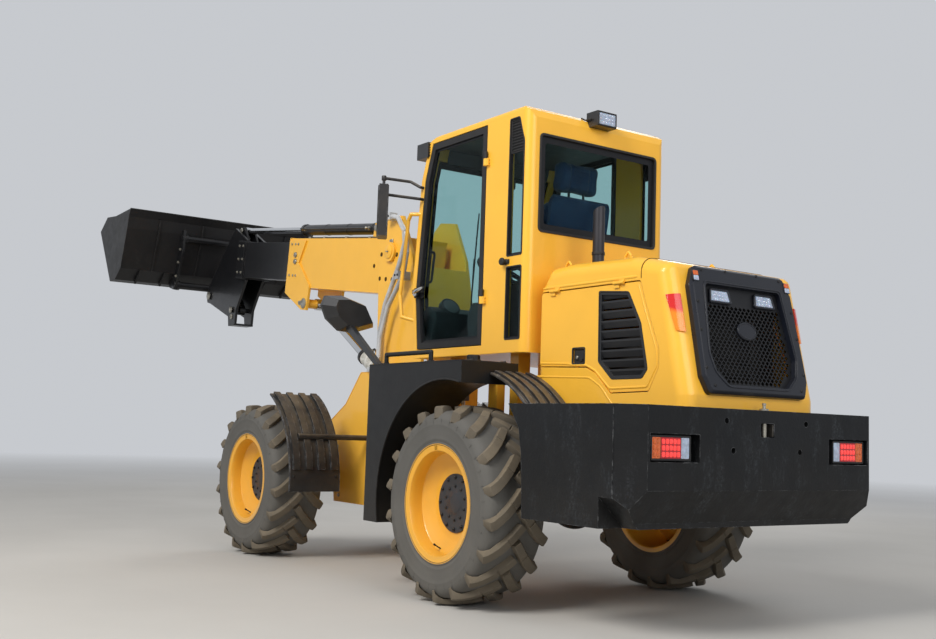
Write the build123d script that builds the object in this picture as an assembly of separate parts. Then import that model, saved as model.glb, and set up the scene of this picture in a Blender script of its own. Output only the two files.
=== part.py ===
from build123d import *
import os
from math import acos, atan2, cos, degrees, hypot, pi, radians, sin, sqrt, tan

# Articulated telescopic wheel loader, in millimetres.
# X points forward, Y to the left and Z up. Sizes are laid out from the ground under the
# middle of the rear axle, and the finished pieces move back by FRAME_SHIFT, so that the
# part's origin is on the ground at the middle of its length.

# Wheels and axles
WHEELBASE = 2632
TRACK = 1650
TYRE_R = 562
TYRE_W = 406
CROWN_R = 526
TREAD_HALF = 178
SHOULDER_R = 490
TYRE_SIDES = 22
LUGS = 18
LUG_W = 48
LUG_LEAN = 43
LUG_REACH = 198
LUG_LAP = 8
LUG_ROOT_R = 488
BEAD_R = 306
RIM_FLANGE_R = 340
RIM_HALF = 191
RIM_WALL = 14
DISC_OFFSET = 52
DISC_T = 16
HUB_R = 120
HUB_FLANGE_R = 167
HUB_FLANGE_T = 12
HUB_NOSE = 46
HUB_ROOT = 70
AXLE_R = 80
DIFF_R = 165
AXLE_FLANGE_R = 150
AXLE_FLANGE_T = 22
AXLE_PAD = (90, 15)
SEAT_GAP = 0.3

# Articulation
HITCH_X = WHEELBASE / 2
HITCH_PIN_R = 38
HITCH_BOSS_R = 78
PIN_GAP = 0.5
TOP_HINGE = (860, 900)
BOTTOM_HINGE = (520, 560)
HINGE_PLATE_T = 24
HINGE_GAP = 6
HITCH_TURN = 35

# Rear frame
FRAME_Y = 440
FRAME_T = 20
FRAME_TOP = 1050
FRAME_REAR_X = -1040
FRAME_FRONT_X = HITCH_X - 316
TRUNNION_X = 165
TRUNNION_R = 45
TRUNNION_PLATE_T = 30

# Counterweight
WEIGHT_REAR_X = -1505
WEIGHT_Y = 950
WEIGHT_CHAMFER = 115
WEIGHT_TOP = 1129
WEIGHT_BOTTOM = 535
WEIGHT_CREASE_Z = 724
WEIGHT_TUCK = 105
WING_FRONT_X = -560
WING_INNER_Y = 560
WING_CLEAR = 14
POCKET_Y = (490, 820)
POCKET_Z = (859, 994)
POCKET_DEPTH = 60
WEIGHT_HOLE_R = 15
WEIGHT_HOLE_DEPTH = 70
UPPER_HOLES = (301, 1068)
LOWER_HOLES = (252, 921)
TOW_Z = 1027
TOW_W = 100
TOW_H = 70
TOW_DEPTH = 120
TOW_PIN_R = 14
TOW_PIN_X = 25

# Hood, grille and engine
HOOD_Y = 500
HOOD_FRONT_X = -210
HOOD_TOP = 1944
HOOD_REAR_TOP = (-1265, 1870)
HOOD_REAR_FOOT = (-1418, 1194)
HOOD_WALL = 25
HOOD_EDGE_R = 80
HOOD_NOSE_R = 45
DOOR_GAP = 6
DOOR_RECESS = 5
HOOD_DOOR_TOP = 1785
HOOD_HINGES = (-960, -420)
HOOD_KNUCKLE_R = 8
HOOD_KNUCKLE_L = 40
LATCH_X = (-640, -540)
LATCH_Z = (1368, 1452)
LATCH_DEPTH = 10
LOUVRE_COUNT = 9
LOUVRE_RIM = 16
EYE_PLACES = (-290, -800)
EYE_Y = 330
EYE_HALF = 26
EYE_RISE = 46
EYE_R = 7
TAIL_LAMP_T = 8
GRILLE_Y = 400
GRILLE_T = 45
GRILLE_EDGE = 16
MESH_T = 6
MESH_SET = 10
MESH_PITCH = (56, 29)
MESH_HOLE = (19, 11)
MESH_TOP = 452
MESH_EDGE = 16
WORK_LAMP = (170, 530, 76, 32)
EXHAUST_R = 35
EXHAUST_WALL = 3
EXHAUST_XY = (-400, 200)
EXHAUST_TOP = 2324
EXHAUST_ROOM = 12
ENGINE = ((-980, -340), (-280, 280), (750, 1560))

# Side boxes, rails, headlamps and guards
BOX_Y = (600, 1000)
BOX_X = (-180, HITCH_X - 466)
BOX_Z = (398, 1372)
ARCH_R = 705
RAIL_R = 14
RAIL_X = (200, HITCH_X - 576)
RAIL_Y = 950
RAIL_TOP = 1447
HEADLAMP = (HITCH_X - 66, 935, 1728)
HEADLAMP_DEPTH = 120
HEADLAMP_BACK = 0.72
HEADLAMP_ARM = (950, 16)
REAR_GUARD_R = 757
REAR_GUARD_Y = (508, 800)
REAR_GUARD_END = 143
FRONT_GUARD_R = 705
FRONT_GUARD_Y = (600, 1000)
FRONT_GUARD_ARC = (117, 184.5)
GUARD_T = 14
GUARD_RIB_H = 16
GUARD_RIBS = 4
GUARD_BAR_R = 20

# Cab
CAB_Y = 560
CAB_WALL = 40
CAB_REAR_X = -170
CAB_FLOOR = 1444
CAB_ROOF = 2934
CAB_CORNER_R = 60
CAB_ROOF_R = 28
GLASS_T = 6
GLASS_INSET = 14
DOOR_X = (262, 1012)
DOOR_Z = (1505, 2880)
DOOR_CLEAR = 6
DOOR_BORDER = 42
DOOR_SWING = 95
CAB_HINGE = (250, 575)
HINGE_KNUCKLE_R = 13
HINGE_KNUCKLE_H = 45
HINGE_LEVELS = (1755, 2620)
QUARTER_X = (-125, 20)
QUARTER_LEVELS = ((1524, 1962), (2026, 2870))
QUARTER_SLOPE = 150
REAR_WINDOW_Y = 470
REAR_WINDOW_Z = (2174, 2759)
SCREEN_Y = 480
WHEEL_R = 190
WHEEL_T = 15
SCREEN_Z = (1600, 2790)
HANDRAIL_R = 13
MIRROR = (1125, 790, 2425)
MIRROR_SIZE = (170, 60, 350)
MIRROR_TURN = -30
MIRROR_TUBE_R = 10

# Boom
BOOM_ANGLE = 6.8
BOOM_PIVOT = (HITCH_X + 584, 2300)
PIVOT_PIN_R = 40
OUTER_HALF = 165
OUTER_W = (-315, 119)
OUTER_U = (-120, 1950)
OUTER_WALL = 12
INNER_HALF = 130
INNER_W = (-257, 87)
INNER_U = (1400, 3183)
INNER_WALL = 10
COLLAR_L = 150
WEAR_PAD = 22
BOOM_STROKE_IN = 1070
BOOM_STROKE_OUT = 80
RAM_TOP_W = 214
RAM_TOP_U = (600, 2011, 3333)
RAM_BARREL_R = 48
RAM_ROD_R = 30
RAM_EYE_R = 38
RAM_PIN_R = 16
RAM_EAR_Y = 36
RAM_EAR_T = 20

# Front frame
SPINE_Y = 225
SPINE_T = 25
SIDE_Y = 315
SIDE_T = 25
FRONT_FLOOR = 400
SPINE_REAR_X = HITCH_X + 104
HOSE_R = 18
HOSE_LANES = (292, 334)

# Lift, tilt and steering cylinders, each with its base, its eye and its sizes
LIFT_BASE = (HITCH_X + 204, 880)
LIFT_EYE = (BOOM_PIVOT[0] + 1594, 2034)
LIFT_BARREL_R = 62
LIFT_ROD_R = 35
LIFT_BARREL = 1345
LIFT_ROD = 1463
LIFT_EYE_R = 50
LIFT_PIN_R = 28
LIFT_EYE_W = 120
BOOM_REACH = 3960
TILT_PIVOT = (BOOM_PIVOT[0] + BOOM_REACH, 2294)
TILT_PIVOT_R = 30
TILT_BASE = (TILT_PIVOT[0] - 610, 2104)
TILT_RADIUS = 280
TILT_LEAN = 130
TILT_BARREL_R = 50
TILT_ROD_R = 28
TILT_BARREL = 500
TILT_ROD = 500
TILT_EYE_R = 45
TILT_PIN_R = 22
TILT_EYE_W = 56
STEER_BASE = (HITCH_X - 556, 300)
STEER_EYE = (HITCH_X + 244, 385)
STEER_Z = 715
STEER_BARREL_R = 36
STEER_ROD_R = 18
STEER_BARREL = 505
STEER_ROD = 535
STEER_EYE_R = 34
STEER_PIN_R = 18
STEER_EYE_W = 60
STEER_EAR_T = 22
STEER_EAR_GAP = 10

# Boom head, coupler and bucket
HEAD_PLATE_Y = 75
HEAD_PLATE_T = 25
LUG_Y = 38
LUG_T = 24
COUPLER_Y = 430
COUPLER_T = 25
BUCKET_Y = 1023
BUCKET_WALL = 12
BUCKET_EDGE = (TILT_PIVOT[0] + 860, 2964)

FRAME_SHIFT = -(WEIGHT_REAR_X + BUCKET_EDGE[0]) / 2
AXLE_Z = TYRE_R


# Shape helpers
def plate(outline, y0, y1):
    """A piece cut from an outline of (x, z) points, from y0 to y1."""
    wire = Wire.make_polygon([(x, y0, z) for x, z in outline], close=True)
    return Solid.extrude(Face(wire), Vector(0, y1 - y0, 0))


def deck(outline, z0, z1):
    """A piece cut from an outline of (x, y) points, from z0 to z1."""
    wire = Wire.make_polygon([(x, y, z0) for x, y in outline], close=True)
    return Solid.extrude(Face(wire), Vector(0, 0, z1 - z0))


def slice_x(outline, x0, x1):
    """A piece cut from an outline of (y, z) points, from x0 to x1."""
    wire = Wire.make_polygon([(x0, y, z) for y, z in outline], close=True)
    return Solid.extrude(Face(wire), Vector(x1 - x0, 0, 0))


def flat(outline, grow=0, corner=0):
    """A flat outline, grown on every side, with its outer corners rounded."""
    sketch = make_face(Polyline(*outline, close=True))
    if grow != corner:
        sketch = offset(sketch, amount=grow - corner, kind=Kind.INTERSECTION)
    if corner:
        sketch = offset(sketch, amount=corner, kind=Kind.ARC)
    return sketch


def slab(sketch, y0, y1):
    """A piece cut from a flat outline drawn in X and Z, from y0 to y1."""
    side = Plane(origin=(0, y0, 0), x_dir=(1, 0, 0), z_dir=(0, -1, 0))
    return Solid.extrude((side * sketch).face(), Vector(0, y1 - y0, 0))


def block(x, y, z):
    """A box between low and high (x, y, z) pairs."""
    size = (x[1] - x[0], y[1] - y[0], z[1] - z[0])
    return Solid.make_box(*size, Plane(origin=(x[0], y[0], z[0])))


def bar(start, end, radius):
    """A round bar from one point to another."""
    start, end = Vector(*start), Vector(*end)
    return Solid.make_cylinder(radius, (end - start).length, Plane(origin=start, z_dir=end - start))


def ball(centre, radius):
    return Solid.make_sphere(radius, Plane(origin=centre), -90, 90, 360)


def rod(points, radius):
    """A thin round rod bent at each of its points."""
    return join(*[bar(a, b, radius) for a, b in zip(points, points[1:])])


def tube(points, radius):
    """A thick round rod with a rounded bend at each of its points."""
    return join(rod(points, radius), *[ball(point, radius) for point in points[1:-1]])


def join(*pieces):
    result = pieces[0]
    for piece in pieces[1:]:
        result = result + piece
    return result


def cut(body, *tools):
    for tool in tools:
        body = body - tool
    return body


def mirrored(shape):
    """The same piece on the right-hand side."""
    return mirror(shape, Plane.XZ)


def solids_of(*shapes):
    found = []
    for shape in shapes:
        found.extend(shape.solids())
    return Compound(found)


def both(shape):
    return solids_of(shape, mirrored(shape))


def turned(profile, centre_x):
    """A profile of (radius, y) points turned about the axle at centre_x."""
    wire = Wire.make_polygon([(centre_x + r, y, AXLE_Z) for r, y in profile], close=True)
    return Solid.revolve(Face(wire), 360, Axis((centre_x, 0, AXLE_Z), (0, 1, 0)))


def band(centre_x, inner, outer, arc, y0, y1):
    """A curved sheet about the axle at centre_x; arc is its two angles, up from +X."""
    def at(radius, angle):
        return (centre_x + radius * cos(radians(angle)), y0, AXLE_Z + radius * sin(radians(angle)))
    middle = (arc[0] + arc[1]) / 2
    edges = [
        ThreePointArc(at(outer, arc[0]), at(outer, middle), at(outer, arc[1])),
        Line(at(outer, arc[1]), at(inner, arc[1])),
        ThreePointArc(at(inner, arc[1]), at(inner, middle), at(inner, arc[0])),
        Line(at(inner, arc[0]), at(outer, arc[0])),
    ]
    outline = Wire([edge for line in edges for edge in line.edges()])
    return Solid.extrude(Face(outline), Vector(0, y1 - y0, 0))


def along_boom(u, w):
    """The (x, z) place of a point u along the boom from its pivot and w above its line."""
    c, s = cos(radians(BOOM_ANGLE)), sin(radians(BOOM_ANGLE))
    return BOOM_PIVOT[0] + u * c - w * s, BOOM_PIVOT[1] + u * s + w * c


def boom_block(u, y, w):
    """A box laid along the boom."""
    corners = [(u[0], w[0]), (u[1], w[0]), (u[1], w[1]), (u[0], w[1])]
    return plate([along_boom(*corner) for corner in corners], *y)


def boom_plate(outline, y0, y1):
    """A piece cut from an outline of (u, w) points along the boom, from y0 to y1."""
    return plate([along_boom(*point) for point in outline], y0, y1)


def ram(base, eye, pin, size):
    """A cylinder's barrel and rod.

    size is (barrel r, barrel length, rod r, rod length, eye r, pin r, width)."""
    barrel_r, barrel_length, rod_r, rod_length, eye_r, pin_r, width = size
    base, eye, pin = Vector(*base), Vector(*eye), Vector(*pin)
    way = (eye - base).normalized()
    mouth = base + way * barrel_length
    barrel = bar(base + way * eye_r * 0.7, mouth, barrel_r)
    barrel = cut(barrel, bar(base + way * (eye_r + 12), mouth + way, rod_r + PIN_GAP))
    barrel = join(barrel, bar(base - pin * (width / 2), base + pin * (width / 2), eye_r))
    barrel = cut(barrel, bar(base - pin * width, base + pin * width, pin_r + PIN_GAP))
    rod = bar(eye - way * rod_length, eye - way * eye_r * 0.7, rod_r)
    rod = join(rod, bar(eye - pin * (width / 2), eye + pin * (width / 2), eye_r))
    rod = cut(rod, bar(eye - pin * width, eye + pin * width, pin_r + PIN_GAP))
    return barrel, rod


def ordered(sketch):
    """The corner points of a sketch's outline, in order."""
    starts = [edge.start_point() for edge in sketch.face().outer_wire().order_edges()]
    return [(point.X, point.Y) for point in starts]


# Wheels: each has its tyre, and its rim with the hub
def lug_foot():
    """A lug's outline as (place round the tyre, y), and the height of its flat top."""
    lean = radians(LUG_LEAN)
    half = LUG_W / 2
    run = (LUG_REACH + LUG_LAP) * tan(lean) / 2
    side, along = half * cos(lean), half * sin(lean)
    outline = [(run + half / cos(lean), LUG_REACH), (run - half / cos(lean), LUG_REACH),
               (-run - side, along - LUG_LAP), (-run + side, -along - LUG_LAP)]
    furthest = max(abs(place) for place, y in outline)
    return outline, sqrt(TYRE_R ** 2 - furthest ** 2), degrees(atan2(furthest, TYRE_R))


def lug(side, turn):
    outline, top, lead = lug_foot()
    angle = radians(turn)
    out, round_way = Vector(cos(angle), 0, sin(angle)), Vector(-sin(angle), 0, cos(angle))
    root = [out * LUG_ROOT_R + round_way * place + Vector(0, side * y, 0) for place, y in outline]
    return Solid.extrude(Face(Wire.make_polygon(root, close=True)), out * (top - LUG_ROOT_R))


def tyre():
    """A tyre about its own centre: a many-sided casing with its leaning lugs fused on."""
    bead = RIM_HALF - RIM_WALL - SEAT_GAP
    spread = 1 / cos(pi / TYRE_SIDES)
    half = [(BEAD_R * spread, bead), ((RIM_FLANGE_R + 2) * spread, bead), (SHOULDER_R, TYRE_W / 2),
            (CROWN_R, TREAD_HALF)]
    rows = half + [(r, -y) for r, y in reversed(half)]
    faces = []
    for n in range(TYRE_SIDES):
        a, b = (2 * pi * (n + step) / TYRE_SIDES for step in (0, 1))
        for (r0, y0), (r1, y1) in zip(rows, rows[1:] + rows[:1]):
            corners = [(r0, y0, a), (r1, y1, a), (r1, y1, b), (r0, y0, b)]
            outline = [(r * cos(turn), y, r * sin(turn)) for r, y, turn in corners]
            faces.append(Face(Wire.make_polygon(outline, close=True)))
    casing = Solid(Shell(faces))
    # One lug's corner is at the very bottom, and the right-hand lugs lie half a step on
    outline, top, lead = lug_foot()
    first = -90 - degrees(atan2(max(place for place, y in outline), top))
    lugs = []
    for n in range(LUGS):
        lugs.append(lug(1, first + n * 360 / LUGS))
        lugs.append(lug(-1, first + (n + 0.5) * 360 / LUGS))
    return casing.fuse(*lugs)


def rim(x, side):
    bed = BEAD_R - SEAT_GAP
    disc = DISC_OFFSET
    profile = [
        (bed, -RIM_HALF + RIM_WALL), (RIM_FLANGE_R, -RIM_HALF + RIM_WALL), (RIM_FLANGE_R, -RIM_HALF),
        (bed - RIM_WALL, -RIM_HALF), (bed - RIM_WALL, disc - DISC_T - 20), (bed - 50, disc - DISC_T),
        (HUB_R, disc - DISC_T), (HUB_R, disc), (bed - 45, disc), (bed - RIM_WALL, disc + 24),
        (bed - RIM_WALL, RIM_HALF), (RIM_FLANGE_R, RIM_HALF), (RIM_FLANGE_R, RIM_HALF - RIM_WALL),
        (bed, RIM_HALF - RIM_WALL),
    ]
    centre = side * TRACK / 2
    dish = turned([(r, centre + side * y) for r, y in profile], x)
    # Each span of the hub, from y0 to y1, with its radius
    hub = ((disc - DISC_T - HUB_ROOT, disc + HUB_NOSE, HUB_R), (disc, disc + HUB_FLANGE_T, HUB_FLANGE_R))
    spans = [bar((x, centre + side * y0, AXLE_Z), (x, centre + side * y1, AXLE_Z), r) for y0, y1, r in hub]
    return join(dish, *spans)


def axle_end(side):
    """The y of the hub's inner face, where the axle's end flange seats."""
    return side * (TRACK / 2 + DISC_OFFSET - DISC_T - HUB_ROOT - SEAT_GAP)


def axle(x):
    housing = bar((x, axle_end(-1), AXLE_Z), (x, axle_end(1), AXLE_Z), AXLE_R)
    flanges = []
    for side in (-1, 1):
        end = axle_end(side)
        flanges.append(bar((x, end, AXLE_Z), (x, end - side * AXLE_FLANGE_T, AXLE_Z), AXLE_FLANGE_R))
    return join(housing, ball((x, 0, AXLE_Z), DIFF_R), *flanges)


def rear_axle():
    reach = TRUNNION_X + TRUNNION_PLATE_T
    return join(axle(0), bar((-reach, 0, AXLE_Z), (reach, 0, AXLE_Z), TRUNNION_R))


def front_axle():
    half, rise = AXLE_PAD
    pads = []
    for side in (-1, 1):
        y = sorted((side * SIDE_Y, side * (SIDE_Y + SIDE_T)))
        pads.append(block((WHEELBASE - half, WHEELBASE + half), y, (AXLE_Z, AXLE_Z + AXLE_R + rise)))
    return join(axle(WHEELBASE), *pads)


# Rear frame
def hitch_levels():
    """The low and high faces of the four plates that hold the articulation's tongues."""
    return [
        (TOP_HINGE[1] + HINGE_GAP, TOP_HINGE[1] + HINGE_GAP + HINGE_PLATE_T),
        (TOP_HINGE[0] - HINGE_GAP - HINGE_PLATE_T, TOP_HINGE[0] - HINGE_GAP),
        (BOTTOM_HINGE[1] + HINGE_GAP, BOTTOM_HINGE[1] + HINGE_GAP + HINGE_PLATE_T),
        (BOTTOM_HINGE[0] - HINGE_GAP - HINGE_PLATE_T, BOTTOM_HINGE[0] - HINGE_GAP),
    ]


def rear_hitch():
    """The nose of the rear frame, with its hinge plates, bosses and pins."""
    levels = hitch_levels()
    start = FRAME_FRONT_X - 220
    wide = [(start, FRAME_Y), (FRAME_FRONT_X, FRAME_Y), (HITCH_X + 30, HITCH_BOSS_R),
            (HITCH_X + 30, -HITCH_BOSS_R), (FRAME_FRONT_X, -FRAME_Y), (start, -FRAME_Y)]
    narrow = [(HITCH_X - 356, 170), (HITCH_X, HITCH_BOSS_R), (HITCH_X, -HITCH_BOSS_R), (HITCH_X - 356, -170)]
    pieces = [block((HITCH_X - 386, HITCH_X - 354), (-190, 190), (levels[3][0], levels[0][1]))]
    for (low, high), outline in zip(levels, (wide, narrow, narrow, wide)):
        pieces.append(deck(outline, low, high))
        pieces.append(bar((HITCH_X, 0, low), (HITCH_X, 0, high), HITCH_BOSS_R))
    for low, high in ((levels[1][0], levels[0][1]), (levels[3][0], levels[2][1])):
        pieces.append(bar((HITCH_X, 0, low), (HITCH_X, 0, high), HITCH_PIN_R))
    return pieces


def rear_frame():
    low = BOTTOM_HINGE[0] - 30
    side_outline = [
        (FRAME_REAR_X, 600), (-300, 600), (-220, 760), (220, 760), (320, 540), (FRAME_FRONT_X - 300, low),
        (FRAME_FRONT_X, low), (FRAME_FRONT_X, 960), (FRAME_FRONT_X - 220, FRAME_TOP),
        (FRAME_REAR_X, FRAME_TOP),
    ]
    inside = FRAME_Y - FRAME_T
    side = plate(side_outline, inside, FRAME_Y)
    pieces = [side, mirrored(side)] + rear_hitch()
    # Cross members, each from x0 to x1 and z0 to z1
    cross_members = [(-1040, -1000, 600, 1050), (-900, -860, 650, 750), (-420, -380, 650, 750),
                     (FRAME_FRONT_X - 440, FRAME_FRONT_X - 400, 560, 1000)]
    for x0, x1, z0, z1 in cross_members:
        pieces.append(block((x0, x1), (-inside, inside), (z0, z1)))
    # Trunnion brackets that hold the rear axle at its middle
    for face in (-1, 1):
        x = sorted((face * TRUNNION_X, face * (TRUNNION_X + TRUNNION_PLATE_T)))
        outline = [(-110, 470), (110, 470), (inside, 780), (inside, 840), (-inside, 840), (-inside, 780)]
        bracket = slice_x(outline, *x)
        pieces.append(cut(bracket, bar((x[0] - 1, 0, AXLE_Z), (x[1] + 1, 0, AXLE_Z), TRUNNION_R + SEAT_GAP)))
    # Outriggers for the side boxes, cab posts and hood posts, each from x0 to x1, y0 to y1 and z0 to z1
    posts = [
        (BOX_X[1] - 210, BOX_X[1] - 90, FRAME_Y - 5, BOX_Y[0], 860, 980),
        (240, 330, FRAME_Y - 5, BOX_Y[0], 1290, 1360),
        (240, 330, FRAME_Y - 60, FRAME_Y, FRAME_TOP - 5, 1360),
        (30, 110, FRAME_Y - 90, FRAME_Y, FRAME_TOP - 140, CAB_FLOOR),
        (FRAME_FRONT_X - 240, FRAME_FRONT_X - 160, FRAME_Y - 90, FRAME_Y, FRAME_TOP - 140, CAB_FLOOR),
        (-290, -230, inside, HOOD_Y - 5, 1040, WEIGHT_TOP),
    ]
    for s in (-1, 1):
        for x0, x1, y0, y1, z0, z1 in posts:
            pieces.append(block((x0, x1), sorted((s * y0, s * y1)), (z0, z1)))
        # Steering cylinder ears with their pin
        x, y = STEER_BASE[0], s * STEER_BASE[1]
        ears = steering_ears()
        for z0, z1 in ears:
            ear = [(x - 60, s * inside), (x - 45, y - s * 45), (x + 45, y - s * 45), (x + 60, s * inside)]
            pieces.append(deck(ear, z0, z1))
        pieces.append(bar((x, y, ears[0][0]), (x, y, ears[1][1]), STEER_PIN_R))
    return join(*pieces)


def counterweight():
    rear = WEIGHT_REAR_X
    y, c = WEIGHT_Y, WEIGHT_CHAMFER
    front = WING_FRONT_X
    half = [(rear, y - c), (rear + c, y), (front, y), (front, WING_INNER_Y), (FRAME_REAR_X, WING_INNER_Y)]
    body = deck(half + [(px, -py) for px, py in reversed(half)], WEIGHT_BOTTOM, WEIGHT_TOP)
    # The lower rear edge slopes in, and each wing's front edge slopes back
    low, out = WEIGHT_BOTTOM - 10, rear - 10
    tuck = [(out, low), (rear + WEIGHT_TUCK, low), (rear + WEIGHT_TUCK, WEIGHT_BOTTOM + 28),
            (rear, WEIGHT_CREASE_Z), (out, WEIGHT_CREASE_Z)]
    wing = [(front + 60, WEIGHT_TOP + 10), (front, WEIGHT_TOP + 10), (front - 1, WEIGHT_TOP),
            (front - 95, 1000), (front - 124, 850), (front - 140, low), (front + 60, low)]
    body = cut(body, plate(tuck, -y - 10, y + 10), plate(wing, -y - 10, y + 10))
    for s in (-1, 1):
        # Room for the mudguard's end
        guard_y = sorted((s * (REAR_GUARD_Y[0] - WING_CLEAR), s * (REAR_GUARD_Y[1] + WING_CLEAR)))
        reach = REAR_GUARD_R + GUARD_T + GUARD_RIB_H + WING_CLEAR
        body = cut(body, band(0, REAR_GUARD_R - WING_CLEAR, reach, (90, REAR_GUARD_END + 2), *guard_y))
        # Lower corner facet, lamp pocket and bolt holes
        facet = slice_x([(s * (y + 10), WEIGHT_BOTTOM - 10), (s * (y - 170), WEIGHT_BOTTOM - 10),
                         (s * (y + 10), WEIGHT_CREASE_Z - 30)], rear - 10, rear + 210)
        pocket = block((rear - 10, rear + POCKET_DEPTH), sorted((s * POCKET_Y[0], s * POCKET_Y[1])), POCKET_Z)
        body = cut(body, facet, pocket)
        for hole_y, hole_z in (UPPER_HOLES, LOWER_HOLES):
            start, end = (rear - 5, s * hole_y, hole_z), (rear + WEIGHT_HOLE_DEPTH, s * hole_y, hole_z)
            body = cut(body, bar(start, end, WEIGHT_HOLE_R))
    half_w, half_h = TOW_W / 2, TOW_H / 2
    tow = block((rear - 10, rear + TOW_DEPTH), (-half_w, half_w), (TOW_Z - half_h, TOW_Z + half_h))
    pin_x = rear + TOW_PIN_X
    return cut(body, tow, bar((pin_x, 0, TOW_Z - TOW_H), (pin_x, 0, WEIGHT_TOP + 5), TOW_PIN_R))


def engine_block():
    return block(*ENGINE)


# Hood: outlines of (x, z) points
HOOD_SKIRT = WEIGHT_TOP - 200
HOOD_OUTLINE = [
    (HOOD_FRONT_X, HOOD_SKIRT), (HOOD_FRONT_X, HOOD_TOP - 140), (HOOD_FRONT_X - 95, HOOD_TOP - 12),
    (HOOD_FRONT_X - 290, HOOD_TOP), (-1000, HOOD_TOP - 14), (-1200, HOOD_REAR_TOP[1] + 18), HOOD_REAR_TOP,
    HOOD_REAR_FOOT, (HOOD_REAR_FOOT[0], HOOD_SKIRT),
]
HOOD_DOOR = [
    (-250, 1361), (-250, HOOD_DOOR_TOP), (-1075, HOOD_DOOR_TOP), (-1116, 1668), (-1217, 1424), (-1219, 1332),
    (-1149, 1211), (-861, 1204), (-744, 1313), (-661, 1348),
]
LOUVRE = [(-754, 1755), (-986, 1735), (-1081, 1566), (-1135, 1324), (-1096, 1279), (-866, 1278), (-759, 1373)]
TAIL_LAMP = [(-1262, 1700), (-1345, 1712), (-1379, 1641), (-1450, 1487), (-1326, 1515)]


def hood_outer(inset):
    """The hood's closed form, drawn in by inset on every side."""
    half = HOOD_Y - inset
    body = slab(flat(HOOD_OUTLINE, -inset, HOOD_NOSE_R - inset), -half, half)
    side_edges = [edge for edge in body.edges() if abs(abs(edge.center().Y) - half) < 1
                  and edge.center().Z > HOOD_SKIRT + 100]
    return fillet(side_edges, HOOD_EDGE_R - inset)


def hood_door():
    panel = slab(flat(HOOD_DOOR, 0, 20), HOOD_Y - HOOD_WALL, HOOD_Y - DOOR_RECESS)
    opening = slab(flat(LOUVRE, SEAT_GAP, 15), HOOD_Y - HOOD_WALL - 5, HOOD_Y + 5)
    latch = block(LATCH_X, (HOOD_Y - DOOR_RECESS - LATCH_DEPTH, HOOD_Y + 5), LATCH_Z)
    return join(cut(panel, opening, latch), *hood_hinges(-1))


def hood_louvre():
    """The black frame in the hood door with its slats."""
    y0, y1 = HOOD_Y - HOOD_WALL, HOOD_Y - DOOR_RECESS - 1
    frame = cut(slab(flat(LOUVRE, 0, 15), y0, y1), slab(flat(LOUVRE, -LOUVRE_RIM, 4), y0 - 5, y1 + 5))
    held = slab(flat(LOUVRE, 4 - LOUVRE_RIM, 4), y0, y1)
    low = min(z for x, z in LOUVRE)
    step = (max(z for x, z in LOUVRE) - low) / LOUVRE_COUNT
    slats = []
    for n in range(LOUVRE_COUNT):
        z = low + (n + 0.15) * step
        section = [(y0 + 1, z), (y0 + 1, z + 10), (y1 - 3, z + step * 0.8), (y1 - 3, z + step * 0.8 - 10)]
        slats.extend(slice_x(section, -1200, -700).intersect(held).solids())
    return join(frame, *slats)


def hood_hinges(sense):
    """The left hood door's knuckles with their leaves: sense is 1 on the hood and -1 on the door."""
    y, z = HOOD_Y + HOOD_KNUCKLE_R, HOOD_DOOR_TOP + DOOR_GAP / 2
    pieces = []
    for x in HOOD_HINGES:
        start = x if sense > 0 else x + HOOD_KNUCKLE_L + SEAT_GAP
        ends = (start, start + HOOD_KNUCKLE_L)
        pieces.append(bar((ends[0], y, z), (ends[1], y, z), HOOD_KNUCKLE_R - SEAT_GAP))
        foot = sorted((z + sense * (DOOR_GAP / 2 + 2), z + sense * 26))
        pieces.append(block(ends, (HOOD_Y - DOOR_RECESS - 4, HOOD_Y + 5), foot))
        pieces.append(block(ends, (HOOD_Y + SEAT_GAP, HOOD_Y + 5), sorted((z, z + sense * 20))))
    return pieces


def lifting_eye(x, y):
    """A hoop of round rod on the hood's top."""
    low, high = HOOD_TOP - HOOD_WALL, HOOD_TOP + EYE_RISE
    return rod([(x - EYE_HALF, y, low), (x - EYE_HALF, y, high - EYE_HALF), (x, y, high),
                (x + EYE_HALF, y, high - EYE_HALF), (x + EYE_HALF, y, low)], EYE_R)


def hood():
    skirt = block((-1600, 0), (-600, 600), (HOOD_SKIRT - 5, WEIGHT_TOP))
    shell = cut(hood_outer(0), hood_outer(HOOD_WALL), skirt)
    opening = slab(flat(HOOD_DOOR, DOOR_GAP, 20), HOOD_Y - HOOD_WALL - 12, HOOD_Y + 12)
    # The rear face is open behind the grille
    low, high = GRILLE_Y - 30, GRILLE_Y - 70
    window = [(-low, 1215), (low, 1215), (high, 1805), (-high, 1805)]
    shell = cut(shell, opening, mirrored(opening), slice_x(window, -1500, -1180))
    shell = cut(shell, bar((*EXHAUST_XY, 1800), (*EXHAUST_XY, 2100), EXHAUST_R + EXHAUST_ROOM))
    for piece in hood_hinges(1) + [lifting_eye(x, EYE_Y) for x in EYE_PLACES]:
        shell = join(shell, piece, mirrored(piece))
    return shell


def grille_plane(proud=0):
    """The hood's sloping rear face, with x to the right and y up its slope."""
    slope = atan2(HOOD_REAR_TOP[0] - HOOD_REAR_FOOT[0], HOOD_REAR_TOP[1] - HOOD_REAR_FOOT[1])
    out = (-cos(slope), 0, sin(slope))
    origin = (HOOD_REAR_FOOT[0] + out[0] * proud, 0, HOOD_REAR_FOOT[1] + out[2] * proud)
    return Plane(origin=origin, x_dir=(0, -1, 0), z_dir=out)


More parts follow.
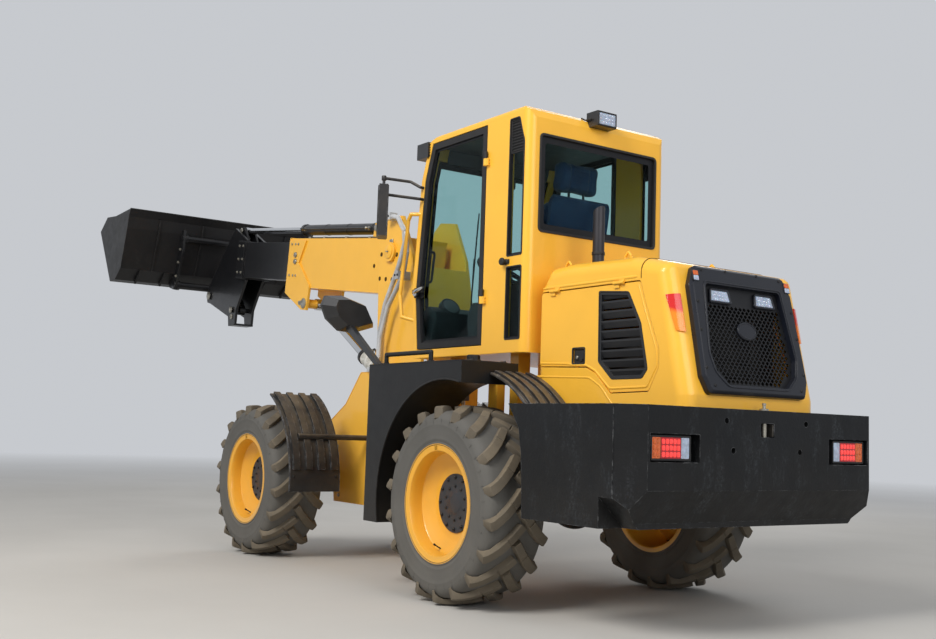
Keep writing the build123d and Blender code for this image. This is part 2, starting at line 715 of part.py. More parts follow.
# The grille's height up the slope, and its outlines as (half width, height) from the foot up
GRILLE_H = hypot(HOOD_REAR_TOP[0] - HOOD_REAR_FOOT[0], HOOD_REAR_TOP[1] - HOOD_REAR_FOOT[1])
SURROUND = [(364, 0), (GRILLE_Y, 90), (GRILLE_Y - 10, GRILLE_H - 120), (GRILLE_Y - 60, GRILLE_H - 12)]
WINDOW = [(225, 48), (300, 115), (326, 210), (286, 585)]


def two_sided(half):
    return half + [(-x, y) for x, y in reversed(half)]


def rear_grille():
    """The surround that stands proud of the hood's rear face."""
    plane = grille_plane()
    frame = extrude(plane * flat(two_sided(SURROUND), 0, 30), amount=GRILLE_T)
    rim_edges = [edge for edge in frame.edges() if plane.to_local_coords(edge.center()).Z > GRILLE_T - 1]
    frame = chamfer(rim_edges, GRILLE_EDGE)
    return cut(frame, extrude(plane * flat(two_sided(WINDOW), 0, 25), amount=GRILLE_T))


def window_half(height):
    """The half width of the grille's window at a height up its slope."""
    for (x0, y0), (x1, y1) in zip(WINDOW, WINDOW[1:]):
        if y0 <= height <= y1:
            return x0 + (x1 - x0) * (height - y0) / (y1 - y0)
    return 0


def grille_mesh():
    """The plate in the surround, with rows of staggered six-sided holes below the work lamps."""
    panel = extrude(grille_plane(MESH_SET) * flat(two_sided(WINDOW), -SEAT_GAP, 25), amount=MESH_T)
    (pitch_x, pitch_y), (half_x, half_y) = MESH_PITCH, MESH_HOLE
    holes = []
    rows = int((MESH_TOP - WINDOW[0][1] - 2 * MESH_EDGE) / pitch_y)
    plane = grille_plane(MESH_SET - 5)
    for row in range(rows + 1):
        y = WINDOW[0][1] + MESH_EDGE + half_y + row * pitch_y
        room = min(window_half(y - half_y), window_half(y + half_y)) - MESH_EDGE - half_x
        shift = pitch_x / 2 if row % 2 else 0
        count = int((room - shift) / pitch_x)
        for n in range(-count - (1 if shift else 0), count + 1):
            x = n * pitch_x + shift
            hole = [(x - half_x, y), (x - half_x * 0.4, y - half_y), (x + half_x * 0.4, y - half_y),
                    (x + half_x, y), (x + half_x * 0.4, y + half_y), (x - half_x * 0.4, y + half_y)]
            holes.append(extrude(plane * make_face(Polyline(*hole, close=True)), amount=MESH_T + 10).solid())
    return panel.solid().cut(*holes)


def exhaust():
    x, y = EXHAUST_XY
    pipe = cut(bar((x, y, ENGINE[2][1]), (x, y, EXHAUST_TOP), EXHAUST_R),
               bar((x, y, ENGINE[2][1] + 60), (x, y, EXHAUST_TOP + 5), EXHAUST_R - EXHAUST_WALL))
    slant = [(x - 60, EXHAUST_TOP + 10), (x + 60, EXHAUST_TOP + 10), (x + 60, EXHAUST_TOP - 60)]
    return cut(pipe, plate(slant, y - 50, y + 50))


def guard_ribs(centre_x, radius, arc, y0, y1):
    pitch = (y1 - y0) / GUARD_RIBS
    low, high = radius + GUARD_T - 2, radius + GUARD_T + GUARD_RIB_H
    return [band(centre_x, low, high, arc, y0 + (n + 0.25) * pitch, y0 + (n + 0.75) * pitch)
            for n in range(GUARD_RIBS)]


def rear_guard():
    arc = (degrees(acos((BOX_X[0] - SEAT_GAP) / REAR_GUARD_R)), REAR_GUARD_END)
    sheet = band(0, REAR_GUARD_R, REAR_GUARD_R + GUARD_T, arc, *REAR_GUARD_Y)
    return join(sheet, *guard_ribs(0, REAR_GUARD_R, (arc[0] + 1, arc[1]), *REAR_GUARD_Y))


def front_guard():
    y0, y1 = FRONT_GUARD_Y
    sheet = band(WHEELBASE, FRONT_GUARD_R, FRONT_GUARD_R + GUARD_T, FRONT_GUARD_ARC, y0, y1)
    ribs = guard_ribs(WHEELBASE, FRONT_GUARD_R, (FRONT_GUARD_ARC[0], 172), y0, y1)
    # A bar behind the guard carries it on the front frame
    reach = FRONT_GUARD_R + GUARD_T + GUARD_BAR_R - 4
    angle = radians(153)
    x, z = WHEELBASE + reach * cos(angle), AXLE_Z + reach * sin(angle)
    return join(sheet, bar((x, SIDE_Y + SIDE_T, z), (x, y1 - 80, z), GUARD_BAR_R), *ribs)


def side_box():
    body = block(BOX_X, BOX_Y, BOX_Z)
    return cut(body, bar((0, BOX_Y[0] - 5, AXLE_Z), (0, BOX_Y[1] + 5, AXLE_Z), ARCH_R))


def grab_rail():
    """The low rail on top of a side box."""
    x0, x1 = RAIL_X[0] + RAIL_R, RAIL_X[1] - RAIL_R
    low, high = BOX_Z[1], RAIL_TOP - RAIL_R
    return tube([(x0, RAIL_Y, low), (x0, RAIL_Y, high), (x1, RAIL_Y, high), (x1, RAIL_Y, low)], RAIL_R)


# Lamps: head lamps on their arms, roof lamps, hood lamps and tail lamps
def head_lamp():
    """The left head lamp: a shield that widens forwards, on an arm from the side box."""
    x, y, z = HEADLAMP
    # Corners of its front as (across, up), seen from behind
    shield = [(198, 46), (173, 110), (52, 121), (-114, 75), (-198, -74), (-53, -122), (64, -116), (160, -42)]
    half = HEADLAMP_DEPTH / 2
    sections = []
    for dx, scale in ((-half, HEADLAMP_BACK), (half - 25, 1), (half, 1)):
        outline = [(x + dx, y + across * scale, z + up * scale) for across, up in shield]
        sections.append(Wire.make_polygon(outline, close=True))
    housing = Solid.make_loft(sections, True)
    arm_y, arm_half = HEADLAMP_ARM
    x0, z0 = BOX_X[1], BOX_Z[1]
    outline = [(x0 - 60, z0), (x0, z0), (x + 20, z - 90), (x - 10, z - 50)]
    arm = plate(outline, arm_y - arm_half, arm_y + arm_half)
    return join(housing, arm)


def lamps():
    rear = WEIGHT_REAR_X
    roof = cab_body(-SEAT_GAP)
    pocket_lamp = block((rear + 18, rear + POCKET_DEPTH), (540, 800), (870, 983))
    roof_lamp = cut(block((925, 1060), (445, 575), (CAB_ROOF - 134, CAB_ROOF - 29)), roof)
    skin = cut(hood_outer(-TAIL_LAMP_T), hood_outer(0))
    tail_lamp = skin.intersect(plate(TAIL_LAMP, HOOD_Y - 62, HOOD_Y + 20))
    y, height, half_y, half_h = WORK_LAMP
    lens = [(y - half_y, height - half_h), (y + half_y, height - half_h), (y + half_y - 14, height + half_h),
            (y - half_y + 14, height + half_h)]
    work_lamp = extrude(grille_plane(MESH_SET + MESH_T) * flat(lens, 0, 8), amount=8)
    pieces = [both(piece) for piece in (head_lamp(), pocket_lamp, roof_lamp, tail_lamp, work_lamp)]
    rear_lamp = block((CAB_REAR_X - 75, CAB_REAR_X + 30), (-62, 92), (CAB_ROOF - 66, CAB_ROOF + 28))
    pieces.append(cut(rear_lamp, roof))
    return solids_of(*pieces)


# Cab
CAB_OUTLINE = [
    (CAB_REAR_X, CAB_FLOOR), (CAB_REAR_X, 2860), (-150, 2905), (-100, CAB_ROOF), (830, CAB_ROOF), (924, 2898),
    (1009, 2648), (1086, 1885), (1034, 1522), (1026, CAB_FLOOR),
]


def cab_profile(inset):
    return ordered(flat(CAB_OUTLINE, -inset))


def cab_body(inset):
    half = CAB_Y - inset
    body = plate(cab_profile(inset), -half, half)
    rear_edges = [edge for edge in body.edges() if abs(abs(edge.center().Y) - half) < 1
                  and edge.center().X < CAB_REAR_X + inset + 5 and edge.length > 500]
    body = fillet(rear_edges, CAB_CORNER_R - inset)
    if inset > 0:
        return body
    # The roof's side edges are rounded
    section = flat([(-half, CAB_FLOOR - 100), (half, CAB_FLOOR - 100), (half, CAB_ROOF - inset),
                    (-half, CAB_ROOF - inset)], 0, CAB_ROOF_R)
    across = Plane(origin=(-400, 0, 0), x_dir=(0, 1, 0), z_dir=(1, 0, 0))
    return body.intersect(extrude(across * section, amount=1600)).solid()


def door_outline(inset):
    x, z = DOOR_X, DOOR_Z
    i = inset
    return [(x[0] + i, z[0] + i), (x[1] - 20 - i, z[0] + i), (x[1] + 22 - i, 1880),
            (x[1] - 50 - i, 2640 - i * 0.3), (x[1] - 130 - i * 0.7, z[1] - i), (x[0] + i, z[1] - i)]


def quarter_windows():
    """The outlines of the narrow side windows behind the door, below and above their cross bar."""
    (x0, x1), (low, high) = QUARTER_X, QUARTER_LEVELS
    return [
        [(x0, low[0]), (x1, low[0]), (x1, low[1]), (x0, low[1])],
        [(x0, high[0]), (x1, high[0]), (x1, high[1]), (x0 + 50, high[1]), (x0, high[1] - QUARTER_SLOPE)],
    ]


def hinge_leaves(sense):
    """The left door's hinge knuckles with their leaves: sense is -1 on the cab's post and 1 on the door."""
    hx, hy = CAB_HINGE
    pieces = []
    for level in HINGE_LEVELS:
        low = level + (0 if sense < 0 else HINGE_KNUCKLE_H + SEAT_GAP)
        z = (low, low + HINGE_KNUCKLE_H)
        pieces.append(bar((hx, hy, z[0]), (hx, hy, z[1]), HINGE_KNUCKLE_R))
        leaf_y = CAB_Y - 4 if sense < 0 else CAB_Y + 1
        pieces.append(block(sorted((hx, hx + sense * 30)), (leaf_y, hy + 4), z))
        if sense > 0:
            pieces.append(block((hx + 16, hx + 30), (CAB_Y - 4, hy), z))
    return pieces


def handrail():
    """The hoop ahead of the left front post, from its top to its foot."""
    foot, out = CAB_Y - 16, CAB_Y + 40
    return tube([(1012, foot, 2425), (1070, out, 2425), (1100, out, 2385), (1172, out, 1880),
                 (1140, out, 1730), (1048, foot, 1700)], HANDRAIL_R)


def cab_shell():
    shell = cut(cab_body(0), cab_body(CAB_WALL))
    span = (CAB_Y - CAB_WALL - 20, CAB_Y + 5)
    for outline in [door_outline(-DOOR_CLEAR)] + quarter_windows():
        opening = plate(outline, *span)
        shell = cut(shell, opening, mirrored(opening))
    rear_x = (CAB_REAR_X - 5, CAB_REAR_X + CAB_WALL + 20)
    shell = cut(shell, block(rear_x, (-REAR_WINDOW_Y, REAR_WINDOW_Y), REAR_WINDOW_Z),
                block((800, 1200), (-SCREEN_Y, SCREEN_Y), SCREEN_Z))
    for piece in hinge_leaves(-1) + [handrail()]:
        shell = join(shell, piece, mirrored(piece))
    return shell


def cab_glass():
    sheet = cut(plate(cab_profile(GLASS_INSET), -SCREEN_Y, SCREEN_Y),
                plate(cab_profile(GLASS_INSET + GLASS_T), -SCREEN_Y, SCREEN_Y))
    screen = sheet.intersect(block((800, 1200), (-SCREEN_Y, SCREEN_Y), SCREEN_Z))
    rear_x = (CAB_REAR_X + GLASS_INSET, CAB_REAR_X + GLASS_INSET + GLASS_T)
    rear = block(rear_x, (-REAR_WINDOW_Y, REAR_WINDOW_Y), REAR_WINDOW_Z)
    panes = [both(plate(outline, CAB_Y - GLASS_INSET - GLASS_T, CAB_Y - GLASS_INSET))
             for outline in quarter_windows()]
    return solids_of(screen, rear, *panes)


def cab_door():
    y = (CAB_Y - CAB_WALL, CAB_Y)
    frame = cut(plate(door_outline(0), *y), plate(door_outline(DOOR_BORDER), y[0] - 5, y[1] + 5))
    post = block((DOOR_X[1] - 22, DOOR_X[1] + 6), (CAB_Y - 5, CAB_Y + 24), (1850, 1915))
    lever = block((DOOR_X[1] - 120, DOOR_X[1] + 6), (CAB_Y + 22, CAB_Y + 40), (1878, 1904))
    return join(frame, post, lever, *hinge_leaves(1))


def door_glass():
    return plate(door_outline(DOOR_BORDER), CAB_Y - GLASS_INSET - GLASS_T, CAB_Y - GLASS_INSET)


def seat():
    floor = CAB_FLOOR + CAB_WALL
    base = block((150, 500), (-170, 170), (floor, floor + 290))
    cushion = block((110, 610), (-250, 250), (floor + 280, floor + 400))
    cushion = fillet(cushion.edges().filter_by(Axis.Y), 45)
    back = plate([(110, floor + 380), (240, floor + 380), (160, floor + 980), (40, floor + 980)], -240, 240)
    back = fillet(back.edges().filter_by(Axis.Y), 40)
    low, high = floor + 1000, floor + 1170
    head = plate([(30, low), (120, low), (100, high), (20, high)], -130, 130)
    neck = plate([(60, low - 50), (110, low - 50), (95, low + 30), (50, low + 30)], -60, 60)
    return join(base, cushion, back, neck, fillet(head.edges().filter_by(Axis.Y), 30))


def steering_console():
    floor = CAB_FLOOR + CAB_WALL
    column = plate([(860, floor), (975, floor), (930, floor + 480), (830, floor + 560), (790, floor + 520)],
                   -90, 90)
    centre = Vector(780, 0, floor + 590)
    tilt = Vector(-0.55, 0, 0.835)
    turns = [radians(60 * n) for n in range(6)]
    section = [(WHEEL_R + WHEEL_T * cos(turn), 0, WHEEL_T * sin(turn)) for turn in turns]
    ring = Solid.revolve(Face(Wire.make_polygon(section, close=True)), 360, Axis.Z)
    pieces = [column, bar((830, 0, floor + 515), tuple(centre), 20), Plane(origin=centre, z_dir=tilt) * ring]
    for turn in (90, 210, 330):
        a = radians(turn)
        reach = Vector(tilt.Z * cos(a), sin(a), -tilt.X * cos(a)) * WHEEL_R
        pieces.append(bar(tuple(centre), tuple(centre + reach), 9))
    return join(*pieces)


def side_mirror():
    """The left mirror, folded forward, with the two tubes that hold it on the front post."""
    x, y, z = MIRROR
    length, thick, height = MIRROR_SIZE
    head = Rot(0, 0, MIRROR_TURN) * block((-length / 2, length / 2), (-thick / 2, thick / 2),
                                          (-height / 2, height / 2))
    root, out = CAB_Y + SEAT_GAP, CAB_Y + 25
    upper = rod([(985, root, 2600), (985, out, 2600), (1040, CAB_Y + 70, 2640), (x, y, 2655), (x, y, z)],
                MIRROR_TUBE_R)
    lower = rod([(985, root, 2520), (985, out, 2520), (x, y, 2545)], MIRROR_TUBE_R)
    return join(Pos(x, y, z) * head, upper, lower)


def steering_ears():
    """The low and high faces of the two ears that hold each end of a steering cylinder."""
    low = STEER_Z - STEER_EYE_W / 2 - STEER_EAR_GAP
    high = STEER_Z + STEER_EYE_W / 2 + STEER_EAR_GAP
    return (low - STEER_EAR_T, low), (high, high + STEER_EAR_T)


# Front frame with the boom's tower; outlines run forward from the hitch h and back from the axle a
def front_side(s):
    """The plates on one side of the front frame, with the steering ears and the boom's pivot boss."""
    h, a = HITCH_X, WHEELBASE
    saddle = AXLE_Z + AXLE_R + AXLE_PAD[1]
    spine = [
        (SPINE_REAR_X, 440), (h + 304, FRONT_FLOOR), (a - 232, FRONT_FLOOR), (a - 172, 670), (a + 168, 670),
        (a + 188, 975), (a + 35, 985), (a - 283, 1167), (a - 503, 1409), (h + 744, 1600), (h + 774, 2380),
        (h + 734, 2530), (h + 644, 2590), (h + 444, 2560), (h + 284, 2250), (h + 124, 1560),
        (SPINE_REAR_X, 1400),
    ]
    side = [(h + 304, FRONT_FLOOR), (a - 152, FRONT_FLOOR), (a - 112, saddle), (a + 168, saddle),
            (a + 188, 965), (a + 35, 975), (a - 283, 1150), (a - 503, 1390), (h + 424, 1390), (h + 304, 1250)]
    cover = [(a + 8, 955), (a + 35, 975), (a - 283, 1150), (a - 503, 1390), (h + 424, 1390), (h + 424, 1370),
             (a - 517, 1370), (a - 297, 1135)]
    between = sorted((s * (SPINE_Y + SPINE_T), s * SIDE_Y))
    pieces = [
        plate(spine, *sorted((s * SPINE_Y, s * (SPINE_Y + SPINE_T)))),
        plate(side, *sorted((s * SIDE_Y, s * (SIDE_Y + SIDE_T)))),
        plate(cover, *between),
        block((h + 324, a - 232), between, (FRONT_FLOOR, FRONT_FLOOR + 20)),
        block((a + 128, a + 153), between, (690, 940)),
    ]
    x, y = STEER_EYE[0], s * STEER_EYE[1]
    ear = [(h + 309, s * (SIDE_Y + 5)), (h + 444, s * (SIDE_Y + 5)), (h + 444, s * (SIDE_Y + SIDE_T)),
           (h + 294, y + s * 42), (x - 40, y + s * 42), (x - 40, y - s * 30), (x, y - s * 42)]
    for z0, z1 in steering_ears():
        reach = STEER_Z + (STEER_EYE_W / 2 + SEAT_GAP) * (1 if z0 > STEER_Z else -1)
        pieces.append(bar((x, y, min(reach, z0)), (x, y, max(reach, z1)), STEER_PIN_R + 8))
        pieces.append(deck(ear, z0, z1))
    boss = (s * (OUTER_HALF + 30), s * (SPINE_Y + SPINE_T + 25))
    pieces.append(bar((BOOM_PIVOT[0], boss[0], BOOM_PIVOT[1]), (BOOM_PIVOT[0], boss[1], BOOM_PIVOT[1]), 75))
    return pieces


def front_frame():
    h, a = HITCH_X, WHEELBASE
    pieces = front_side(-1) + front_side(1)
    # Cross plates between the spine plates
    pieces += [
        block((SPINE_REAR_X, SPINE_REAR_X + 20), (-SPINE_Y, SPINE_Y), (440, 1400)),
        plate([(h + 124, 1560), (h + 144, 1560), (h + 284, 2160), (h + 264, 2170)], -SPINE_Y, SPINE_Y),
        block((h + 304, a - 232), (-SPINE_Y, SPINE_Y), (FRONT_FLOOR, FRONT_FLOOR + 20)),
        block((a + 148, a + 173), (-SPINE_Y, SPINE_Y), (690, 860)),
    ]
    # Hinge tongues
    root = SPINE_REAR_X + 5
    for low, high in (TOP_HINGE, BOTTOM_HINGE):
        pieces.append(deck([(root, 170), (h, HITCH_BOSS_R), (h, -HITCH_BOSS_R), (root, -170)], low, high))
        pieces.append(bar((h, 0, low), (h, 0, high), HITCH_BOSS_R))
    # Boom pivot pin and lift cylinder pin, each with its reach and radius
    for (x, z), reach, r in ((BOOM_PIVOT, SPINE_Y + 20, PIVOT_PIN_R), (LIFT_BASE, SPINE_Y + 5, LIFT_PIN_R)):
        pieces.append(bar((x, -reach, z), (x, reach, z), r))
    body = join(*pieces)
    for low, high in (TOP_HINGE, BOTTOM_HINGE):
        body = cut(body, bar((h, 0, low - 5), (h, 0, high + 5), HITCH_PIN_R + PIN_GAP))
    return body


def boom_hoses():
    """Two thick hoses that run down the tower's left side, with the clamps they end in."""
    # Each hose's bends as (distance ahead of the hitch, height)
    routes = [
        [(548, 2565), (440, 2540), (345, 2430), (325, 2340), (400, 2170), (575, 1900), (640, 1700),
         (650, 1400)],
        [(255, 2400), (225, 2250), (265, 2080), (465, 1870), (560, 1640), (575, 1400)],
    ]
    hoses = [tube([(HITCH_X + x, y, z) for x, z in route], HOSE_R) for y, route in zip(HOSE_LANES, routes)]
    y0, y1 = SPINE_Y + SPINE_T, HOSE_LANES[1] + 24
    foot = block((HITCH_X + 530, HITCH_X + 700), (y0, y1), (1390, 1425))
    clamp = block((HITCH_X + 520, HITCH_X + 590), (y0, HOSE_LANES[0] + 24), (2535, 2590))
    high_clamp = block((HITCH_X + 300, HITCH_X + 350), (y0, y1), (2060, 2120))
    return join(foot, clamp, high_clamp, bar((HITCH_X + 255, HOSE_LANES[1], 2400),
                                             (HITCH_X + 345, HOSE_LANES[0], 2430), HOSE_R), *hoses)


# Boom
def boom_outer():
    u, w, half, wall = OUTER_U, OUTER_W, OUTER_HALF, OUTER_WALL
    hollow = boom_block((u[0] + 260, u[1] + 5), (-half + wall, half - wall), (w[0] + wall, w[1] - wall))
    pieces = [cut(boom_block(u, (-half, half), w), hollow)]
    # Head plates with the lift cylinder's lugs, and wear pads inside the mouth
    lug_low = w[0] - 195
    head = [(u[1] - 330, w[1] - 20), (u[1], w[1] - 20), (u[1], w[0] - 60), (u[1] - 350, lug_low),
            (u[1] - 450, lug_low), (u[1] - 470, w[0] + 20), (u[1] - 220, -100)]
    inner_w, gap = INNER_W, SEAT_GAP
    mouth = (u[1] - 160, u[1] - 10)
    x, z = LIFT_EYE
    for s in (-1, 1):
        pieces.append(boom_plate(head, *sorted((s * (half - 12), s * (half + 12)))))
        pieces.append(bar((BOOM_PIVOT[0], s * half, BOOM_PIVOT[1]),
                          (BOOM_PIVOT[0], s * (half + 24), BOOM_PIVOT[1]), 75))
        pieces.append(bar((x, s * (LIFT_EYE_W / 2 + gap), z), (x, s * half, z), LIFT_EYE_R - 10))
        span = sorted((s * (INNER_HALF + gap), s * (half - wall + 1)))
        pieces.append(boom_block(mouth, span, (inner_w[0] + 20, inner_w[1] - 20)))
    for low, high in ((w[0] + wall - 1, inner_w[0] - gap), (inner_w[1] + gap, w[1] - wall + 1)):
        pieces.append(boom_block(mouth, (-INNER_HALF, INNER_HALF), (low, high)))
    # Bracket for the telescope cylinder
    x0 = RAM_TOP_U[0]
    bracket = [(x0 - 70, w[1] - 2), (x0 + 60, w[1] - 2), (x0 + 35, RAM_TOP_W + 40), (x0 - 35, RAM_TOP_W + 40)]
    for s in (-1, 1):
        pieces.append(boom_plate(bracket, *sorted((s * RAM_EAR_Y, s * (RAM_EAR_Y + RAM_EAR_T)))))
    pieces.append(telescope_pin(x0, RAM_EAR_Y + RAM_EAR_T + 10, RAM_PIN_R))
    pivot = bar((BOOM_PIVOT[0], -half - 30, BOOM_PIVOT[1]), (BOOM_PIVOT[0], half + 30, BOOM_PIVOT[1]),
                PIVOT_PIN_R + PIN_GAP)
    return cut(join(*pieces), pivot)


def boom_inner():
    u, w, half, wall = INNER_U, INNER_W, INNER_HALF, INNER_WALL
    hollow = ((-half + wall, half - wall), (w[0] + wall, w[1] - wall))
    tube_box = cut(boom_block(u, (-half, half), w), boom_block((u[0] - 5, u[1] - 30), *hollow))
    collar = cut(boom_block((u[1] - COLLAR_L, u[1]), (-half - 18, half + 18), (w[0] - 14, w[1] + 14)),
                 boom_block((u[1] - COLLAR_L - 10, u[1] - 30), *hollow))
    pieces = [tube_box, collar]
    # Rear wear pads on the inner section, which slide in the outer one
    gap, outer = SEAT_GAP, OUTER_W
    tail = (u[0] + 10, u[0] + 150)
    pieces.append(boom_block(tail, (-half + 20, half - 20), (w[1] - 1, outer[1] - OUTER_WALL - gap)))
    pieces.append(boom_block(tail, (-half + 20, half - 20), (outer[0] + OUTER_WALL + gap, w[0] + 1)))
    # Head plates down to the bucket's pivot, with the nose that holds the tilt cylinder
    px, pz = TILT_PIVOT
    bx, bz = TILT_BASE
    foot = bz - 159
    start = u[1] - COLLAR_L + 7
    head = [along_boom(start + 50, w[1] + 28), (bx + 10, pz + 641), (bx + 230, pz + 466), (px + 66, pz + 66),
            (px + 84, pz), (px + 55, pz - 66), (px - 30, pz - 84), (bx + 95, bz - 60), (bx + 75, foot),
            (bx - 75, foot), (bx - 95, bz), along_boom(start, w[0] - 26)]
    ear = [(RAM_TOP_U[2] - 190, w[1]), (RAM_TOP_U[2] - 60, w[1] - 40), (RAM_TOP_U[2] + 40, RAM_TOP_W - 30),
           (RAM_TOP_U[2] + 35, RAM_TOP_W + 35), (RAM_TOP_U[2] - 45, RAM_TOP_W + 35)]
    for s in (-1, 1):
        pieces.append(boom_block(tail, sorted((s * (half - 1), s * (OUTER_HALF - OUTER_WALL - gap))),
                                 (w[0] + 30, w[1] - 30)))
        pieces.append(plate(head, *sorted((s * HEAD_PLATE_Y, s * (HEAD_PLATE_Y + HEAD_PLATE_T)))))
        pieces.append(boom_plate(ear, *sorted((s * RAM_EAR_Y, s * (RAM_EAR_Y + RAM_EAR_T)))))
    cap = [(bx - 10, pz + 606), (bx + 10, pz + 641), (bx + 230, pz + 466), (bx + 215, pz + 441)]
    sole = [(bx - 75, foot), (bx + 75, foot), (bx + 75, foot + 20), (bx - 75, foot + 20)]
    for outline in (cap, sole):
        pieces.append(plate(outline, -HEAD_PLATE_Y, HEAD_PLATE_Y))
    reach = HEAD_PLATE_Y + HEAD_PLATE_T + 12
    for (x, z), r in ((TILT_PIVOT, TILT_PIVOT_R), (TILT_BASE, TILT_PIN_R)):
        pieces.append(bar((x, -reach, z), (x, reach, z), r))
    pieces.append(telescope_pin(RAM_TOP_U[2], RAM_EAR_Y + RAM_EAR_T + 10, RAM_PIN_R))
    return join(*pieces)


def telescope_pin(u, reach, radius):
    """A bar across the boom at one end of the telescope cylinder."""
    x, z = along_boom(u, RAM_TOP_W)
    return bar((x, -reach, z), (x, reach, z), radius)


def telescope_ram():
    start, mouth, end = RAM_TOP_U
    eye_y = RAM_EAR_Y - SEAT_GAP

    def spot(u):
        x, z = along_boom(u, RAM_TOP_W)
        return (x, 0, z)
    barrel = cut(bar(spot(start + 70), spot(mouth), RAM_BARREL_R),
                 bar(spot(start + 100), spot(mouth + 5), RAM_ROD_R + PIN_GAP))
    neck = bar(spot(start), spot(start + 75), RAM_ROD_R)
    barrel = join(barrel, neck, telescope_pin(start, eye_y, RAM_EYE_R))
    rod = join(bar(spot(mouth - 140), spot(end), RAM_ROD_R), telescope_pin(end, eye_y, RAM_EYE_R))
    bores = [telescope_pin(u, RAM_EAR_Y + 5, RAM_PIN_R + SEAT_GAP) for u in (start, end)]
    return cut(barrel, bores[0]), cut(rod, bores[1])


def lift_ram():
    size = (LIFT_BARREL_R, LIFT_BARREL, LIFT_ROD_R, LIFT_ROD, LIFT_EYE_R, LIFT_PIN_R, LIFT_EYE_W)
    return ram((LIFT_BASE[0], 0, LIFT_BASE[1]), (LIFT_EYE[0], 0, LIFT_EYE[1]), (0, 1, 0), size)


def tilt_eye():
    a = radians(TILT_LEAN)
    return TILT_PIVOT[0] + TILT_RADIUS * cos(a), TILT_PIVOT[1] + TILT_RADIUS * sin(a)


def tilt_ram():
    x, z = tilt_eye()
    size = (TILT_BARREL_R, TILT_BARREL, TILT_ROD_R, TILT_ROD, TILT_EYE_R, TILT_PIN_R, TILT_EYE_W)
    return ram((TILT_BASE[0], 0, TILT_BASE[1]), (x, 0, z), (0, 1, 0), size)


def steering_ram(side):
    size = (STEER_BARREL_R, STEER_BARREL, STEER_ROD_R, STEER_ROD, STEER_EYE_R, STEER_PIN_R, STEER_EYE_W)
    base, eye = (STEER_BASE[0], side * STEER_BASE[1], STEER_Z), (STEER_EYE[0], side * STEER_EYE[1], STEER_Z)
    return ram(base, eye, (0, 0, 1), size)


# The bucket's outline from its upper lip down the back and out along the floor, ahead of its pivot
BUCKET_CURVE = [(-110, 3084), (-60, 3011), (-33, 2900), (109, 2500), (272, 2399), (430, 2393)]
BUCKET_BACK = [(TILT_PIVOT[0] + x, z) for x, z in BUCKET_CURVE] + [BUCKET_EDGE]
BUCKET_SIDE = BUCKET_BACK + [(TILT_PIVOT[0] + 646, 3093), (TILT_PIVOT[0] + 360, 3069)]


def coupler():
    px, pz = TILT_PIVOT
    ex, ez = tilt_eye()
    lug_outline = [(px - 50, pz - 45), (px + 50, pz - 45), (px + 130, pz + 60), (px + 130, pz + 140),
                   (px + 40, pz + 130), (ex + 45, ez + 45), (ex - 20, ez + 55), (ex - 50, ez),
                   (ex - 30, ez - 45)]
    side = [(px + 100, pz + 40), (px + 230, pz + 70), (px + 280, pz + 130), (px + 130, pz + 230),
            (px - 20, pz + 640), (px - 105, pz + 640), (px - 85, pz + 420), (px + 20, pz + 190)]
    pieces = []
    for s in (-1, 1):
        pieces.append(plate(lug_outline, *sorted((s * LUG_Y, s * (LUG_Y + LUG_T)))))
        pieces.append(bar((ex, s * (TILT_EYE_W / 2 + SEAT_GAP), ez), (ex, s * (LUG_Y + LUG_T + 12), ez),
                          TILT_PIN_R + 10))
        pieces.append(plate(side, *sorted((s * COUPLER_Y, s * (COUPLER_Y + COUPLER_T)))))
    # Cross tubes, each with its place from the pivot and its radius
    for dx, dz, r in ((115, 90, 38), (-70, 560, 30)):
        pieces.append(bar((px + dx, -COUPLER_Y - 5, pz + dz), (px + dx, COUPLER_Y + 5, pz + dz), r))
    bowl = plate(ordered(flat(BUCKET_SIDE, SEAT_GAP)), -BUCKET_Y, BUCKET_Y)
    return cut(join(*pieces), bar((px, -100, pz), (px, 100, pz), TILT_PIVOT_R + PIN_GAP), bowl)


def drawn_in(curve, thickness):
    """An open curve moved sideways by a sheet's thickness, with its corners kept."""
    inner = []
    for n, (x, z) in enumerate(curve):
        ways = []
        for m in (n - 1, n):
            if 0 <= m < len(curve) - 1:
                dx, dz = curve[m + 1][0] - curve[m][0], curve[m + 1][1] - curve[m][1]
                ways.append((-dz / hypot(dx, dz), dx / hypot(dx, dz)))
        nx, nz = sum(way[0] for way in ways) / len(ways), sum(way[1] for way in ways) / len(ways)
        scale = thickness / (nx * nx + nz * nz)
        inner.append((x + nx * scale, z + nz * scale))
    return inner


def bucket():
    pieces = [plate(BUCKET_BACK + drawn_in(BUCKET_BACK, BUCKET_WALL)[::-1], -BUCKET_Y, BUCKET_Y)]
    for s in (-1, 1):
        pieces.append(plate(BUCKET_SIDE, *sorted((s * (BUCKET_Y - BUCKET_WALL), s * BUCKET_Y))))
    # Cutting edge under the front of the floor
    (ex, ez), (fx, fz) = BUCKET_EDGE, BUCKET_BACK[-2]
    length = hypot(ex - fx, ez - fz)
    dx, dz = (ex - fx) / length, (ez - fz) / length
    edge = [(0, 0), (180, 0), (180, 22), (30, 22)]
    pieces.append(plate([(ex - dx * back - dz * up, ez - dz * back + dx * up) for back, up in edge],
                        -BUCKET_Y, BUCKET_Y))
    return join(*pieces)


